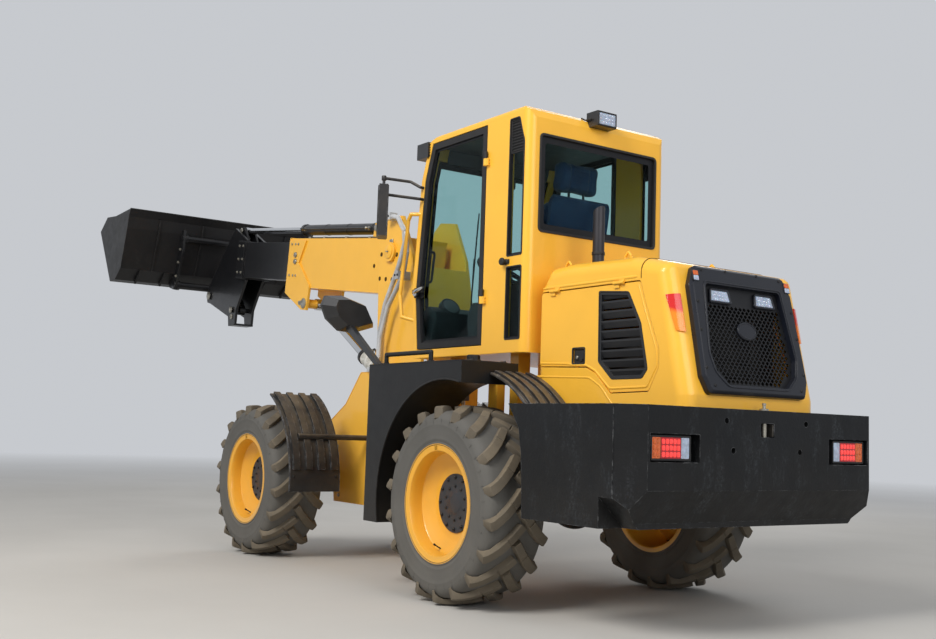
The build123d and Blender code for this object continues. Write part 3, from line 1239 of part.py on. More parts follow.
# Every sub-part by name
def sub_parts():
    parts = {
        "rear_frame": rear_frame(), "rear_axle": rear_axle(), "counterweight": counterweight(),
        "engine_block": engine_block(), "hood": hood(), "rear_grille": rear_grille(),
        "grille_mesh": grille_mesh(), "exhaust": exhaust(), "rear_guards": both(rear_guard()),
        "side_boxes": both(side_box()), "grab_rails": both(grab_rail()), "lamps": lamps(),
        "cab_shell": cab_shell(), "cab_glass": cab_glass(), "seat": seat(),
        "steering_console": steering_console(), "mirrors": both(side_mirror()),
        "front_frame": front_frame(), "front_axle": front_axle(), "front_guards": both(front_guard()),
        "boom_hoses": boom_hoses(), "boom_outer": boom_outer(), "boom_inner": boom_inner(),
        "coupler": coupler(), "bucket": bucket(),
    }
    for name, shape in (("cab_door", cab_door()), ("door_glass", door_glass()), ("hood_door", hood_door()),
                        ("hood_louvre", hood_louvre())):
        parts[name + "_left"] = shape
        parts[name + "_right"] = mirrored(shape)
    for name, pair in (("telescope", telescope_ram()), ("lift", lift_ram()), ("tilt", tilt_ram()),
                       ("steering_left", steering_ram(1)), ("steering_right", steering_ram(-1))):
        parts[name + "_barrel"], parts[name + "_rod"] = pair
    left_tyre = tyre()
    for end, x in (("rear", 0), ("front", WHEELBASE)):
        for name, side in (("left", 1), ("right", -1)):
            shape = left_tyre if side > 0 else mirrored(left_tyre)
            parts[f"tyre_{end}_{name}"] = Pos(x, side * TRACK / 2, AXLE_Z) * shape
            parts[f"rim_{end}_{name}"] = rim(x, side)
    return parts


os.makedirs("parts", exist_ok=True)
for node, shape in sub_parts().items():
    export_step(Pos(FRAME_SHIFT, 0, 0) * shape, f"parts/{node}.step")
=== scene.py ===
"""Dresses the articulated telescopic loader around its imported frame."""
import math

import bmesh
import bpy
from mathutils import Matrix, Vector

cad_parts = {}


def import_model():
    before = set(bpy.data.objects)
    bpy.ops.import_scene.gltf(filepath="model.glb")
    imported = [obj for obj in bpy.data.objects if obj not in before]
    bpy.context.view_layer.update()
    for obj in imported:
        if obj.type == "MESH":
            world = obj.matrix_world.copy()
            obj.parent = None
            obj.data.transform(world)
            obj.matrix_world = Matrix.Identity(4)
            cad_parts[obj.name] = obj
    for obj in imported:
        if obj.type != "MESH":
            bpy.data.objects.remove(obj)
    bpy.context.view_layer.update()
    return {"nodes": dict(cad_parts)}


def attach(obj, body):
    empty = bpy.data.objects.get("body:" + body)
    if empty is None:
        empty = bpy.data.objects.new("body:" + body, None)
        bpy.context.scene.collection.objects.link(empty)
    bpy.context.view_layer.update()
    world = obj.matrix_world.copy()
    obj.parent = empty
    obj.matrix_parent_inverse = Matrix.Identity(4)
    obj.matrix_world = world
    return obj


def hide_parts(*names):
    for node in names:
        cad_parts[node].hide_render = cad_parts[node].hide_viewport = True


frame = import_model()
nodes = frame["nodes"]

# Lengths below are in millimetres in the loader's own layout: X forward from the rear axle,
# Y to the left and Z up from the ground. TO_FRAME turns them into the frame's metres.
REAR_X, FRONT_X = -1505.0, 6720.0
SHIFT = -(REAR_X + FRONT_X) / 2
TO_METRES = Matrix.Scale(0.001, 4)
TO_FRAME = Matrix.Translation((SHIFT / 1000, 0, 0)) @ TO_METRES
WHEELBASE, TRACK, TYRE_R = 2632.0, 1650.0, 562.0
HITCH_X = WHEELBASE / 2
# The cab's roof, its sides' outer face and their glass, and the side boxes' top
ROOF_Z, CAB_Y, GLASS_Y, BOX_TOP = 2934, 560, 546, 1372
SIDES = {"left": 1, "right": -1}
AXLES = {"rear": 0.0, "front": WHEELBASE}


def at(x, y, z):
    return TO_FRAME @ Vector((x, y, z))


# Materials
def srgb(r, g, b):
    """A linear colour from 0 to 255 values as seen on screen."""
    def linear(v):
        v /= 255
        return v / 12.92 if v <= 0.04045 else ((v + 0.055) / 1.055) ** 2.4
    return (linear(r), linear(g), linear(b), 1.0)


DUST = srgb(168, 150, 122)


class Tree:
    """A short way to add and join nodes in one material."""

    def __init__(self, name):
        self.material = bpy.data.materials.new(name)
        self.material.use_nodes = True
        self.nodes = self.material.node_tree.nodes
        self.links = self.material.node_tree.links
        self.shader = self.nodes["Principled BSDF"]

    def add(self, kind, inputs=None, **settings):
        node = self.nodes.new(kind)
        for key, value in settings.items():
            setattr(node, key, value)
        for key, value in (inputs or {}).items():
            self.put(node.inputs[key], value)
        return node

    def put(self, socket, value):
        if isinstance(value, bpy.types.NodeSocket):
            self.links.new(value, socket)
        else:
            socket.default_value = value

    def math(self, operation, a, b=0.0, clamp=False):
        return self.add("ShaderNodeMath", {0: a, 1: b}, operation=operation, use_clamp=clamp).outputs[0]

    def times(self, a, b, clamp=False):
        return self.math("MULTIPLY", a, b, clamp)

    def plus(self, a, b, clamp=False):
        return self.math("ADD", a, b, clamp)

    def ray(self, kind="Position", axis=None):
        """The surface's place or normal where a ray meets it, whole or along one axis."""
        out = self.add("ShaderNodeNewGeometry").outputs[kind]
        return self.add("ShaderNodeSeparateXYZ", {0: out}).outputs[axis] if axis else out

    def noise(self, scale, detail=4.0, rough=0.55, stretch=None):
        place = self.ray()
        if stretch:
            place = self.add("ShaderNodeVectorMath", {0: place, 1: stretch},
                             operation="MULTIPLY").outputs[0]
        return self.add("ShaderNodeTexNoise", {"Vector": place, "Scale": scale, "Detail": detail,
                                              "Roughness": rough}).outputs["Fac"]

    def ramp(self, value, low, high, out_low=0.0, out_high=1.0):
        node = self.add("ShaderNodeMapRange", {"Value": value, "From Min": low, "From Max": high,
                                              "To Min": out_low, "To Max": out_high})
        return node.outputs["Result"]

    def mix(self, factor, a, b):
        node = self.add("ShaderNodeMix", data_type="RGBA")
        self.put(node.inputs["Factor"], factor)
        self.put(node.inputs["A"], a)
        self.put(node.inputs["B"], b)
        return node.outputs["Result"]

    def soft(self, radius):
        return self.add("ShaderNodeBevel", {"Radius": radius}, samples=4).outputs["Normal"]

    def bump(self, height, strength, distance, normal=None):
        inputs = {"Height": height, "Strength": strength, "Distance": distance}
        if normal is not None:
            inputs["Normal"] = normal
        return self.add("ShaderNodeBump", inputs).outputs["Normal"]

    def waves(self, scale, way="Z", distortion=0.0, detail=2.0):
        inputs = {"Vector": self.ray(), "Scale": scale, "Distortion": distortion, "Detail": detail}
        return self.add("ShaderNodeTexWave", inputs, bands_direction=way).outputs["Fac"]

    def set(self, **values):
        for key, value in values.items():
            self.put(self.shader.inputs[key.replace("_", " ")], value)


def shade(color, share):
    return tuple(min(1.0, c * share) for c in color[:3]) + (1.0,)


def finish(name, color, rough=0.5, metal=0.0, coat=0.0, vary=0.08, dust=0.0, low=0.0, bump=0.0, grain=60.0,
           edge=None, soften=0.0, specular=0.5, scuffs=None):
    """A surface with mottled colour, dust that gathers on top faces and near the ground, and worn edges."""
    t = Tree(name)
    base = t.mix(t.ramp(t.noise(3.1), 0.3, 0.7), shade(color, 1 - vary), shade(color, 1 + vary))
    roughness = t.ramp(t.noise(14.0), 0.2, 0.8, rough * 0.85, min(1.0, rough * 1.15))
    normal = t.soft(soften) if soften else None
    if scuffs is not None:
        runs = t.times(t.ramp(t.noise(7.0, 9.0, 0.75, (1.0, 1.0, 0.35)), 0.52, 0.68),
                       t.ramp(t.noise(60.0, 6.0, 0.8), 0.45, 0.7), True)
        base = t.mix(t.times(runs, 0.55), base, scuffs)
        roughness = t.plus(roughness, t.times(runs, 0.2), True)
    if edge is not None:
        along = t.add("ShaderNodeVectorMath", {0: t.soft(0.006), 1: t.ray("Normal")},
                      operation="DOT_PRODUCT")
        worn = t.times(t.ramp(along.outputs["Value"], 0.97, 0.80), t.ramp(t.noise(23.0), 0.45, 0.62), True)
        base = t.mix(worn, base, edge)
    if dust or low:
        up = t.ramp(t.ray("Normal", "Z"), 0.1, 0.9, 0.15, 1.0)
        settled = t.times(t.times(up, t.ramp(t.noise(5.3, 8.0, 0.7), 0.35, 0.75)), dust)
        near = t.ramp(t.ray("Position", "Z"), 1.0, 0.25, 0.0, low)
        splash = t.times(near, t.ramp(t.noise(9.0, 8.0, 0.7), 0.3, 0.7, 0.35, 1.0))
        share = t.plus(settled, splash, True)
        base = t.mix(share, base, DUST)
        roughness = t.plus(roughness, t.times(share, 0.3), True)
    t.set(Base_Color=base, Roughness=roughness, Metallic=metal, Coat_Weight=coat,
          Specular_IOR_Level=specular)
    if coat:
        t.set(Coat_Roughness=0.08)
    if bump:
        normal = t.bump(t.noise(grain, 6.0), 1.0, bump, normal)
    if normal is not None:
        t.set(Normal=normal)
    return t.material


def glass(name, color, rough=0.02):
    t = Tree(name)
    t.set(Base_Color=color, Roughness=t.ramp(t.noise(6.0), 0.3, 0.8, rough, rough + 0.05),
          Transmission_Weight=1.0, IOR=1.12)
    return t.material


def lens(name, color, glow):
    """A moulded, clear-coated lens over a lamp."""
    t = Tree(name)
    t.set(Base_Color=t.mix(t.ramp(t.noise(40.0), 0.35, 0.65), shade(color, 0.7), color), Roughness=0.12,
          Coat_Weight=0.6, Coat_Roughness=0.05, Emission_Color=color, Emission_Strength=glow,
          Subsurface_Weight=0.15, Subsurface_Scale=0.01)
    return t.material


def lamp_bodies():
    """Dark housings, with the hood's red over amber tail lamps and clear fronts on the other lamps."""
    t = Tree("lamp_housing")
    x, y, z = [t.ray("Position", axis) for axis in "XYZ"]
    dark = t.mix(t.ramp(t.noise(9.0), 0.3, 0.7), srgb(20, 21, 23), srgb(32, 33, 36))
    front = t.times(t.math("GREATER_THAN", t.ray("Normal", "X"), 0.75), t.math("GREATER_THAN", z, 1.55))
    base = t.mix(front, dark, srgb(206, 212, 218))
    # Tail lamps: on the hood's rear corners
    back = t.math("LESS_THAN", x, (-1255 + SHIFT) / 1000)
    outer = t.math("GREATER_THAN", t.math("ABSOLUTE", y), 0.432)
    tail = t.times(t.times(back, outer), t.math("GREATER_THAN", z, 1.4))
    slant = t.plus(z, t.times(x, -0.35))
    split_at = 1.600 - 0.35 * (-1360 + SHIFT) / 1000
    colors = t.mix(t.ramp(slant, split_at - 0.012, split_at + 0.012), srgb(255, 140, 26), srgb(214, 34, 30))
    t.set(Base_Color=t.mix(tail, base, colors), Roughness=t.ramp(tail, 0.0, 1.0, 0.38, 0.12),
          Coat_Weight=0.25, Coat_Roughness=0.06,
          Normal=t.bump(t.times(t.waves(28.0), tail), 0.5, 0.001, t.soft(0.004)))
    return t.material


def film():
    """Pale packing film wound round the lift cylinder, with creases and turns that overlap; the creases'
    hollows are painted darker, as shade.
    """
    t = Tree("packing_film")
    wave = t.waves(4.2, "X", 2.5, 3.0)
    crease = t.noise(22.0, 8.0, 0.75, (0.5, 1.6, 1.0))
    # Painted shade: the film's colour darkens where the creases' bump height is low and lightens on their
    # ridges
    base = t.mix(t.ramp(crease, 0.35, 0.65), srgb(150, 150, 140), srgb(214, 214, 208))
    base = t.mix(t.times(t.ramp(wave, 0.7, 1.0), 0.5), base, srgb(236, 236, 232))
    height = t.plus(t.times(crease, 0.7), t.times(wave, 0.5))
    t.set(Base_Color=base, Roughness=0.22, Coat_Weight=0.5, Coat_Roughness=0.12,
          Normal=t.bump(height, 0.8, 0.004))
    return t.material


def fabric(name, color, light, scale=900.0):
    """A woven cloth: crossed ribs over mottled colour, with a soft sheen."""
    t = Tree(name)
    ribs = [t.waves(scale / 6.3, way, 0.6, 1.0) for way in "XYZ"]
    weave = t.times(t.plus(t.plus(ribs[0], ribs[1]), ribs[2]), 0.33)
    tone = t.mix(t.ramp(t.noise(9.0, 6.0), 0.3, 0.7), color, light)
    tone = t.mix(t.times(t.ramp(weave, 0.3, 0.7), 0.35), tone, shade(color, 0.45))
    t.set(Base_Color=tone, Roughness=0.9, Specular_IOR_Level=0.2, Sheen_Weight=0.25, Sheen_Roughness=0.5,
          Normal=t.bump(weave, 0.5, 0.0008))
    return t.material


YELLOW = srgb(250, 189, 60)
BLACK = srgb(19, 20, 22)

MAT = {
    "yellow": finish("yellow_paint", YELLOW, 0.34, coat=0.30, vary=0.03, dust=0.06, low=0.16, bump=0.00012,
                     grain=220, soften=0.006, specular=0.35),
    "yellow_trim": finish("yellow_trim", YELLOW, 0.34, coat=0.3, vary=0.03, dust=0.05, bump=0.0001,
                          grain=220, specular=0.35),
    # Yellow in shadow: painted shade for the thin strips, rings and discs that stand for joints, gaps and
    # holes
    "seam": finish("seam_shadow", srgb(70, 46, 12), 0.7, vary=0.2, specular=0.2),
    "yellow_rim": finish("rim_paint", srgb(242, 176, 44), 0.36, coat=0.3, vary=0.05, dust=0.08, low=0.14,
                         bump=0.0002, grain=160, soften=0.003),
    "black": finish("black_paint", BLACK, 0.42, coat=0.04, vary=0.16, dust=0.05, low=0.05, bump=0.0006,
                    grain=90, edge=srgb(74, 74, 74), soften=0.006, specular=0.3),
    "weight_black": finish("counterweight_black", srgb(19, 21, 24), 0.5, vary=0.25, dust=0.05, low=0.03,
                           bump=0.0008, grain=70, edge=srgb(126, 128, 130), soften=0.004,
                           scuffs=srgb(96, 102, 108), specular=0.22),
    "boom_black": finish("boom_black_paint", srgb(20, 21, 24), 0.34, coat=0.15, vary=0.15, dust=0.04,
                         bump=0.0003, grain=120, edge=srgb(72, 72, 72), soften=0.005, specular=0.35),
    "bucket": finish("bucket_black", srgb(20, 20, 22), 0.48, coat=0.05, vary=0.2, dust=0.07, bump=0.0006,
                     grain=60, edge=srgb(84, 82, 78), soften=0.006, scuffs=srgb(58, 55, 52), specular=0.3),
    "wear": finish("worn_steel", srgb(104, 100, 94), 0.42, metal=0.75, vary=0.3, dust=0.15, bump=0.0005,
                   grain=50, edge=srgb(160, 156, 150)),
    "plastic": finish("black_plastic", srgb(30, 31, 34), 0.42, coat=0.12, vary=0.12, dust=0.42, low=0.03,
                      bump=0.0003, grain=300, edge=srgb(150, 152, 156), specular=0.35),
    "surround": finish("surround_plastic", srgb(19, 23, 33), 0.30, coat=0.2, vary=0.10, dust=0.04,
                       bump=0.0001, grain=200, soften=0.008, specular=0.35),
    "mesh": finish("grille_plate", srgb(16, 18, 23), 0.45, vary=0.10, dust=0.05, bump=0.0001, grain=200,
                   specular=0.3),
    "slat": finish("louvre_plastic", srgb(36, 38, 42), 0.40, vary=0.10, dust=0.12, bump=0.0001, grain=200,
                   soften=0.002, specular=0.35),
    "iron": finish("engine_iron", srgb(66, 64, 62), 0.6, metal=0.3, vary=0.2, dust=0.25, bump=0.001,
                   grain=60),
    "core": finish("radiator_core", srgb(60, 60, 60), 0.5, metal=0.6, vary=0.2, dust=0.3, bump=0.0008,
                   grain=350),
    "exhaust": finish("exhaust_steel", srgb(44, 44, 49), 0.42, metal=0.4, vary=0.2, dust=0.08, bump=0.0002,
                      grain=80),
    "lamp": lamp_bodies(),
    "chrome": finish("chrome_rod", srgb(208, 210, 212), 0.10, metal=1.0, vary=0.03),
    "zinc": finish("zinc_bolts", srgb(168, 164, 152), 0.34, metal=0.85, vary=0.15, dust=0.1),
    "dark_bolt": finish("dark_bolts", srgb(30, 30, 32), 0.4, metal=0.3, vary=0.2, dust=0.08),
    "hub": finish("hub_black", srgb(50, 53, 58), 0.45, vary=0.12, dust=0.04, low=0.03, bump=0.0004,
                  grain=120, specular=0.3),
    "hose": finish("hose_cover", srgb(176, 178, 180), 0.28, coat=0.5, vary=0.35, bump=0.0020, grain=55,
                   scuffs=srgb(240, 240, 238)),
    "rubber": finish("black_rubber", srgb(24, 24, 26), 0.62, vary=0.12, dust=0.08, bump=0.0001, grain=300),
    "film": film(),
    "tyre": finish("tyre_rubber", srgb(96, 95, 92), 0.80, vary=0.10, dust=0.06, low=0.06, bump=0.0007,
                   grain=130, specular=0.2),
    "lug": finish("tread_rubber", srgb(100, 93, 82), 0.82, vary=0.22, dust=0.50, low=0.10, bump=0.0010,
                  grain=110, edge=srgb(140, 130, 114), specular=0.25),
    "mat": finish("cab_mat", srgb(30, 31, 33), 0.75, vary=0.12, bump=0.0008, grain=240),
    "dash": finish("dash_plastic", srgb(48, 50, 54), 0.55, vary=0.10, bump=0.0002, grain=500, soften=0.006),
    "grey": finish("grey_plastic", srgb(118, 122, 126), 0.5, vary=0.06, bump=0.0001, grain=400),
    "seat": fabric("seat_fabric", srgb(36, 56, 92), srgb(60, 84, 124)),
    "welt": fabric("seat_welt", srgb(24, 28, 38), srgb(36, 40, 52), 1500.0),
    "mirror": finish("mirror_glass", srgb(214, 220, 224), 0.03, metal=1.0, vary=0.01),
    "glass": glass("cab_glass", (0.60, 0.80, 0.80, 1.0)),
    "red": lens("red_lens", srgb(170, 12, 18), 0.15),
    "amber": lens("amber_lens", srgb(214, 98, 28), 0.12),
    "clear": lens("clear_lens", srgb(184, 196, 218), 0.04),
    "led": lens("lit_cells", srgb(255, 64, 58), 0.5),
}

NODE_LOOKS = {
    "rear_frame": "yellow", "rear_axle": "black", "counterweight": "weight_black", "engine_block": "iron",
    "hood": "yellow", "rear_grille": "surround", "grille_mesh": "mesh", "exhaust": "exhaust",
    "rear_guards": "plastic", "side_boxes": "black", "grab_rails": "black", "lamps": "lamp",
    "cab_shell": "yellow", "cab_glass": "glass", "seat": "seat", "steering_console": "dash",
    "mirrors": "plastic", "front_frame": "yellow", "front_axle": "black", "front_guards": "plastic",
    "boom_hoses": "hose", "boom_outer": "yellow", "boom_inner": "boom_black",
    "telescope_barrel": "boom_black", "telescope_rod": "chrome", "lift_barrel": "film",
    "lift_rod": "chrome", "tilt_barrel": "boom_black", "tilt_rod": "chrome", "coupler": "boom_black",
    "bucket": "bucket",
}
for side in SIDES:
    NODE_LOOKS["cab_door_" + side] = "rubber"
    NODE_LOOKS["door_glass_" + side] = "glass"
    NODE_LOOKS["hood_door_" + side] = "yellow"
    NODE_LOOKS["hood_louvre_" + side] = "slat"
    NODE_LOOKS[f"steering_{side}_barrel"] = "boom_black"
    NODE_LOOKS[f"steering_{side}_rod"] = "chrome"
    for end in AXLES:
        NODE_LOOKS[f"tyre_{end}_{side}"] = "tyre"
        NODE_LOOKS[f"rim_{end}_{side}"] = "yellow_rim"
for name, look in NODE_LOOKS.items():
    nodes[name].data.materials.clear()
    nodes[name].data.materials.append(MAT[look])


# Outlines and mesh forms
def inset(outline, amount):
    """A closed outline drawn in by an amount, with its corners kept."""
    area = sum(a[0] * b[1] - b[0] * a[1] for a, b in zip(outline, outline[1:] + outline[:1]))
    sense = 1 if area > 0 else -1
    points = []
    for n, (x, y) in enumerate(outline):
        (px, py), (qx, qy) = outline[n - 1], outline[(n + 1) % len(outline)]
        ways = []
        for ax, ay, bx, by in ((px, py, x, y), (x, y, qx, qy)):
            length = math.hypot(bx - ax, by - ay) or 1.0
            ways.append((-(by - ay) / length * sense, (bx - ax) / length * sense))
        nx, ny = (ways[0][0] + ways[1][0]) / 2, (ways[0][1] + ways[1][1]) / 2
        scale = amount / max(nx * nx + ny * ny, 0.25)
        points.append((x + nx * scale, y + ny * scale))
    return points


def bend(start, corner, end, steps):
    """Points on a short curve from start to end, drawn towards a corner."""
    ways = [k / steps for k in range(steps + 1)]
    return [start * (1 - t) ** 2 + corner * 2 * t * (1 - t) + end * t ** 2 for t in ways]


def rounded(outline, radius, steps=4):
    """A closed outline with each corner turned into a short curve."""
    points = []
    for n, corner in enumerate(outline):
        corner = Vector(corner)
        ends = []
        for other in (outline[n - 1], outline[(n + 1) % len(outline)]):
            way = Vector(other) - corner
            ends.append(corner + way.normalized() * min(radius, way.length * 0.45))
        points += [tuple(point) for point in bend(ends[0], corner, ends[1], steps)]
    return points


def oblong(x0, x1, y0, y1, radius=0.0, steps=4):
    corners = [(x0, y0), (x1, y0), (x1, y1), (x0, y1)]
    return rounded(corners, radius, steps) if radius else corners


def side_face(y, s):
    """Places (x, z, out) on a face that looks sideways at a distance y from the middle."""
    return lambda a, b, c: (a, s * (y + c), b)


def back_face(x):
    """Places (y, z, out) on a face that looks backwards."""
    return lambda a, b, c: (x - c, a, b)


def front_face(x):
    return lambda a, b, c: (x + c, a, b)


def top_face(z):
    return lambda a, b, c: (a, b, z + c)


GRILLE_LEAN, GRILLE_RISE = 0.2207, 0.9753


def grille_face(a, b, c):
    """Places (left, up the slope, out) on the hood's sloping rear face."""
    return (-1418 + GRILLE_LEAN * b - GRILLE_RISE * c, a, 1194 + GRILLE_RISE * b + GRILLE_LEAN * c)


BOOM_LEAN = math.radians(6.8)
BOOM_WAY = (math.cos(BOOM_LEAN), 0, math.sin(BOOM_LEAN))
BOOM_PIVOT = (HITCH_X + 584, 2300.0)
# How far the telescope cylinder's axis stands off the boom's
TELESCOPE_W = 214
LIFT_FOOT, LIFT_EYE = Vector((HITCH_X + 204, 0, 880)), Vector((BOOM_PIVOT[0] + 1594, 0, 2034))
TILT_FOOT, BUCKET_PIVOT = Vector((BOOM_PIVOT[0] + 3350, 0, 2104)), Vector((BOOM_PIVOT[0] + 3960, 0, 2294))
TILT_LEAN, TILT_ARM = math.radians(130), 280
TILT_EYE = BUCKET_PIVOT + TILT_ARM * Vector((math.cos(TILT_LEAN), 0, math.sin(TILT_LEAN)))


def boom_place(u, w):
    """The (x, z) of a place along the boom and across it, from its pivot."""
    c, s = math.cos(BOOM_LEAN), math.sin(BOOM_LEAN)
    return BOOM_PIVOT[0] + u * c - w * s, BOOM_PIVOT[1] + u * s + w * c


def boom_side(y, s):
    """Places (along, across, out) on the boom's side."""
    def place(a, b, c):
        x, z = boom_place(a, b)
        return (x, s * (y + c), z)
    return place


def boom_end(u):
    """Places (y, across, out) on a face at right angles to the boom that looks forwards."""
    def place(a, b, c):
        x, z = boom_place(u + c, b)
        return (x, a, z)
    return place


class Form:
    """One mesh that grows from pressed, turned and bent forms."""

    def __init__(self):
        self.mesh = bmesh.new()
        self.look = 0

    def face(self, points):
        face = self.mesh.faces.new(points)
        face.material_index = self.look

    def loft(self, rings, caps=(True, True), around=False):
        """Four-sided faces between closed rings; around joins the last ring to the first."""
        rows = [[self.mesh.verts.new(point) for point in ring] for ring in rings]
        count = len(rows[0])
        for low, high in list(zip(rows, rows[1:])) + ([(rows[-1], rows[0])] if around else []):
            for k in range(count):
                m = (k + 1) % count
                self.face((low[k], low[m], high[m], high[k]))
        if not around:
            if caps[0]:
                self.face(rows[0][::-1])
            if caps[1]:
                self.face(rows[-1])

    def slab(self, outline, place, low, high, edge=1.0):
        """A plate from low to high, with the edge of its outer face drawn in."""
        rings = [[place(a, b, low) for a, b in outline], [place(a, b, high - edge) for a, b in outline],
                 [place(a, b, high) for a, b in inset(outline, edge)]]
        self.loft(rings)

    def band(self, outline, place, width, low, high, edge=1.0):
        """A frame that follows an outline, with both edges of its outer face drawn in."""
        rings = []
        for drawn, level in ((0, low), (0, high - edge), (edge, high), (width - edge, high),
                             (width, high - edge), (width, low)):
            rings.append([place(a, b, level) for a, b in (inset(outline, drawn) if drawn else outline)])
        self.loft(rings, around=True)

    def rim(self, outer, inner, place, low, high):
        """A flat frame between two outlines with as many corners each."""
        self.loft([[place(a, b, level) for a, b in line] for line, level in
                   ((outer, low), (outer, high), (inner, high), (inner, low))], around=True)

    def turn(self, profile, centre, axis, steps=24, around=False, caps=(True, True)):
        """A form turned about an axis, from (radius, height) points."""
        axis = Vector(axis).normalized()
        across = axis.orthogonal().normalized()
        other = axis.cross(across)
        rings = []
        for radius, height in profile:
            ring = []
            for n in range(steps):
                a = 2 * math.pi * n / steps
                out = across * math.cos(a) + other * math.sin(a)
                ring.append(Vector(centre) + axis * height + out * radius)
            rings.append(ring)
        self.loft(rings, caps, around)

    def tube(self, points, radius, sides=10, round_off=0.0, steps=5):
        """A round bar along points, with its corners rounded."""
        path = [Vector(points[0])]
        for before, corner, after in zip(points, points[1:], points[2:]):
            before, corner, after = Vector(before), Vector(corner), Vector(after)
            if not round_off:
                path.append(corner)
                continue
            back, on = before - corner, after - corner
            start = corner + back.normalized() * min(round_off, back.length * 0.45)
            end = corner + on.normalized() * min(round_off, on.length * 0.45)
            path += bend(start, corner, end, steps)
        path.append(Vector(points[-1]))
        way = (path[1] - path[0]).normalized()
        across = way.orthogonal().normalized()
        rings = []
        for n, point in enumerate(path):
            ahead = (path[min(n + 1, len(path) - 1)] - path[max(n - 1, 0)]).normalized()
            across = (across - ahead * across.dot(ahead)).normalized()
            other = ahead.cross(across)
            thick = radius[n] if isinstance(radius, (list, tuple)) else radius
            turns = [2 * math.pi * k / sides for k in range(sides)]
            rings.append([point + (across * math.cos(a) + other * math.sin(a)) * thick for a in turns])
        self.loft(rings)

    def bolt(self, centre, axis, size=9.0, washer=True):
        """A six-sided bolt head on a washer, standing on centre."""
        rise = 0.0
        if washer:
            self.turn([(size * 1.55, 0), (size * 1.55, size * 0.16), (size * 1.42, size * 0.24)], centre,
                      axis, 16)
            rise = size * 0.24
        head = [(size * 1.12, rise), (size * 1.12, rise + size * 0.62), (size * 0.92, rise + size * 0.80)]
        self.turn(head, centre, axis, 6)

    def weld(self, points, radius=4.0, step=7.0):
        """A weld bead with ripples along points."""
        path, sizes = [], []
        for a, b in zip(points, points[1:]):
            a, b = Vector(a), Vector(b)
            count = max(2, int((b - a).length / step))
            for k in range(count):
                path.append(a.lerp(b, k / count))
                sizes.append(radius * (1.0 if k % 2 else 0.78))
        path.append(Vector(points[-1]))
        sizes.append(radius * 0.6)
        self.tube(path, sizes, 6)

    def done(self, name, matrix=TO_FRAME):
        """The finished mesh, with its faces turned outwards."""
        bmesh.ops.recalc_face_normals(self.mesh, faces=self.mesh.faces)
        mesh = bpy.data.meshes.new(name)
        self.mesh.to_mesh(mesh)
        self.mesh.free()
        mesh.transform(matrix)
        return mesh


def piece(name, form, body, slot, looks, replaces=(), smooth=35):
    """Turns a form into an object that rides on a body."""
    stand(name, form.done(name), body, slot, looks, replaces, smooth)


def stand(name, mesh, body, slot, looks, replaces=(), smooth=35, place=None):
    for look in looks:
        mesh.materials.append(MAT[look])
    mesh.shade_smooth()
    mesh.set_sharp_from_angle(angle=math.radians(smooth))
    obj = bpy.data.objects.new(name, mesh)
    if place is not None:
        obj.location = place
    bpy.context.scene.collection.objects.link(obj)
    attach(obj, body)
    if replaces:
        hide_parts(*replaces)


# Wheels: a smooth casing with stepped, curved lugs, and the hub with its nuts
CASING = [
    (308, 176), (316, 186), (328, 192), (341, 194), (346, 191), (352, 192), (358, 196), (366, 198.5),
    (370, 197.5), (390, 199.5), (415, 201.5), (436, 202.5), (441, 204.2), (447, 204.2), (452, 202.6),
    (466, 202.5), (478, 200.5), (489, 196), (499, 190), (509, 181), (517, 168), (522, 150), (526, 120),
    (528, 80), (529.5, 30),
]


def wheel_point(turn, out, r):
    return (r * math.cos(turn), out, r * math.sin(turn))


def lug_sections(first, sense):
    """Rings across one lug, from its nose at the middle of the tread to its foot on the sidewall."""
    rings = []
    # How far a lug runs across the tyre and round it, and the power that bends it
    reach, sweep, bow = 207, 192, 1.3
    stations = [(0.0, 0, 0.0), (0.02, 0, -2.0), (0.08, 0, 0.0), (0.2, 0, 0.0), (0.34, 0, 0.0),
                (0.352, 0, -5.0), (0.366, 0, -5.0), (0.378, 0, -0.5), (0.5, 0, -0.5), (0.62, 0, -1.0),
                (0.74, 0, -2.0), (0.86, 0, -4.0), (0.95, 0, -7.0), (1.0, 0, -11.0), (1.0, 4.5, -44.0),
                (1.0, 6.0, -70.0)]
    for t, beyond, drop in stations:
        y = -10 + reach * t + beyond
        around = sweep * (1 - (1 - t) ** bow) - sweep / 2
        slope = sweep * bow * max(1 - t, 0.06) ** (bow - 1) / reach
        lean = math.atan(slope)
        crown = TYRE_R - 9.0 * (y / 198) ** 2 + drop
        half = 22 + 5 * t - (5 if t == 0 else 0)
        root = min(max(484.0, 528 - 44 * max(0.0, (y - 140) / 60) ** 1.5), crown - 2)
        ring = []
        for q, r in ((-half - 8, root), (-half - 2.5, crown - 7), (-half + 2, crown - 0.8), (0, crown),
                     (half - 2, crown - 0.8), (half + 2.5, crown - 7), (half + 8, root)):
            place, across = around + q * math.cos(lean), y - q * math.sin(lean)
            limit = 205.5 if beyond else 199.0 + 5 * (t > 0.9)
            ring.append(wheel_point(first + place / 545, sense * min(across, limit), r))
        rings.append(ring)
    return rings


def tyre_mesh(name, s):
    form = Form()
    profile = [(r, s * y) for r, y in CASING] + [(r, -s * y) for r, y in reversed(CASING)]
    form.turn(profile + [(308, -s * 160), (308, s * 160)], (0, 0, 0), (0, 1, 0), 96, around=True)
    form.look = 1
    lead = -math.pi / 2 - 0.19
    for n in range(18):
        for sense, offset in ((1, 0.0), (-1, 0.5)):
            form.loft(lug_sections(lead + (n + offset) * 2 * math.pi / 18, sense))
    # Small bars between the lugs' feet and a ring of vents on the sidewall
    form.look = 0
    for n in range(36):
        turn = lead + 0.1 + n * math.pi / 18
        ring = [wheel_point(turn + d, s * y, r) for d, y, r in ((-0.004, 203.4, 452), (0.004, 203.4, 452),
                                                                (0.004, 203.0, 478), (-0.004, 203.0, 478))]
        form.loft([[(x, y - s * 2, z) for x, y, z in ring], [(x, y + s * 0.8, z) for x, y, z in ring]])
    return form.done(name, TO_METRES)


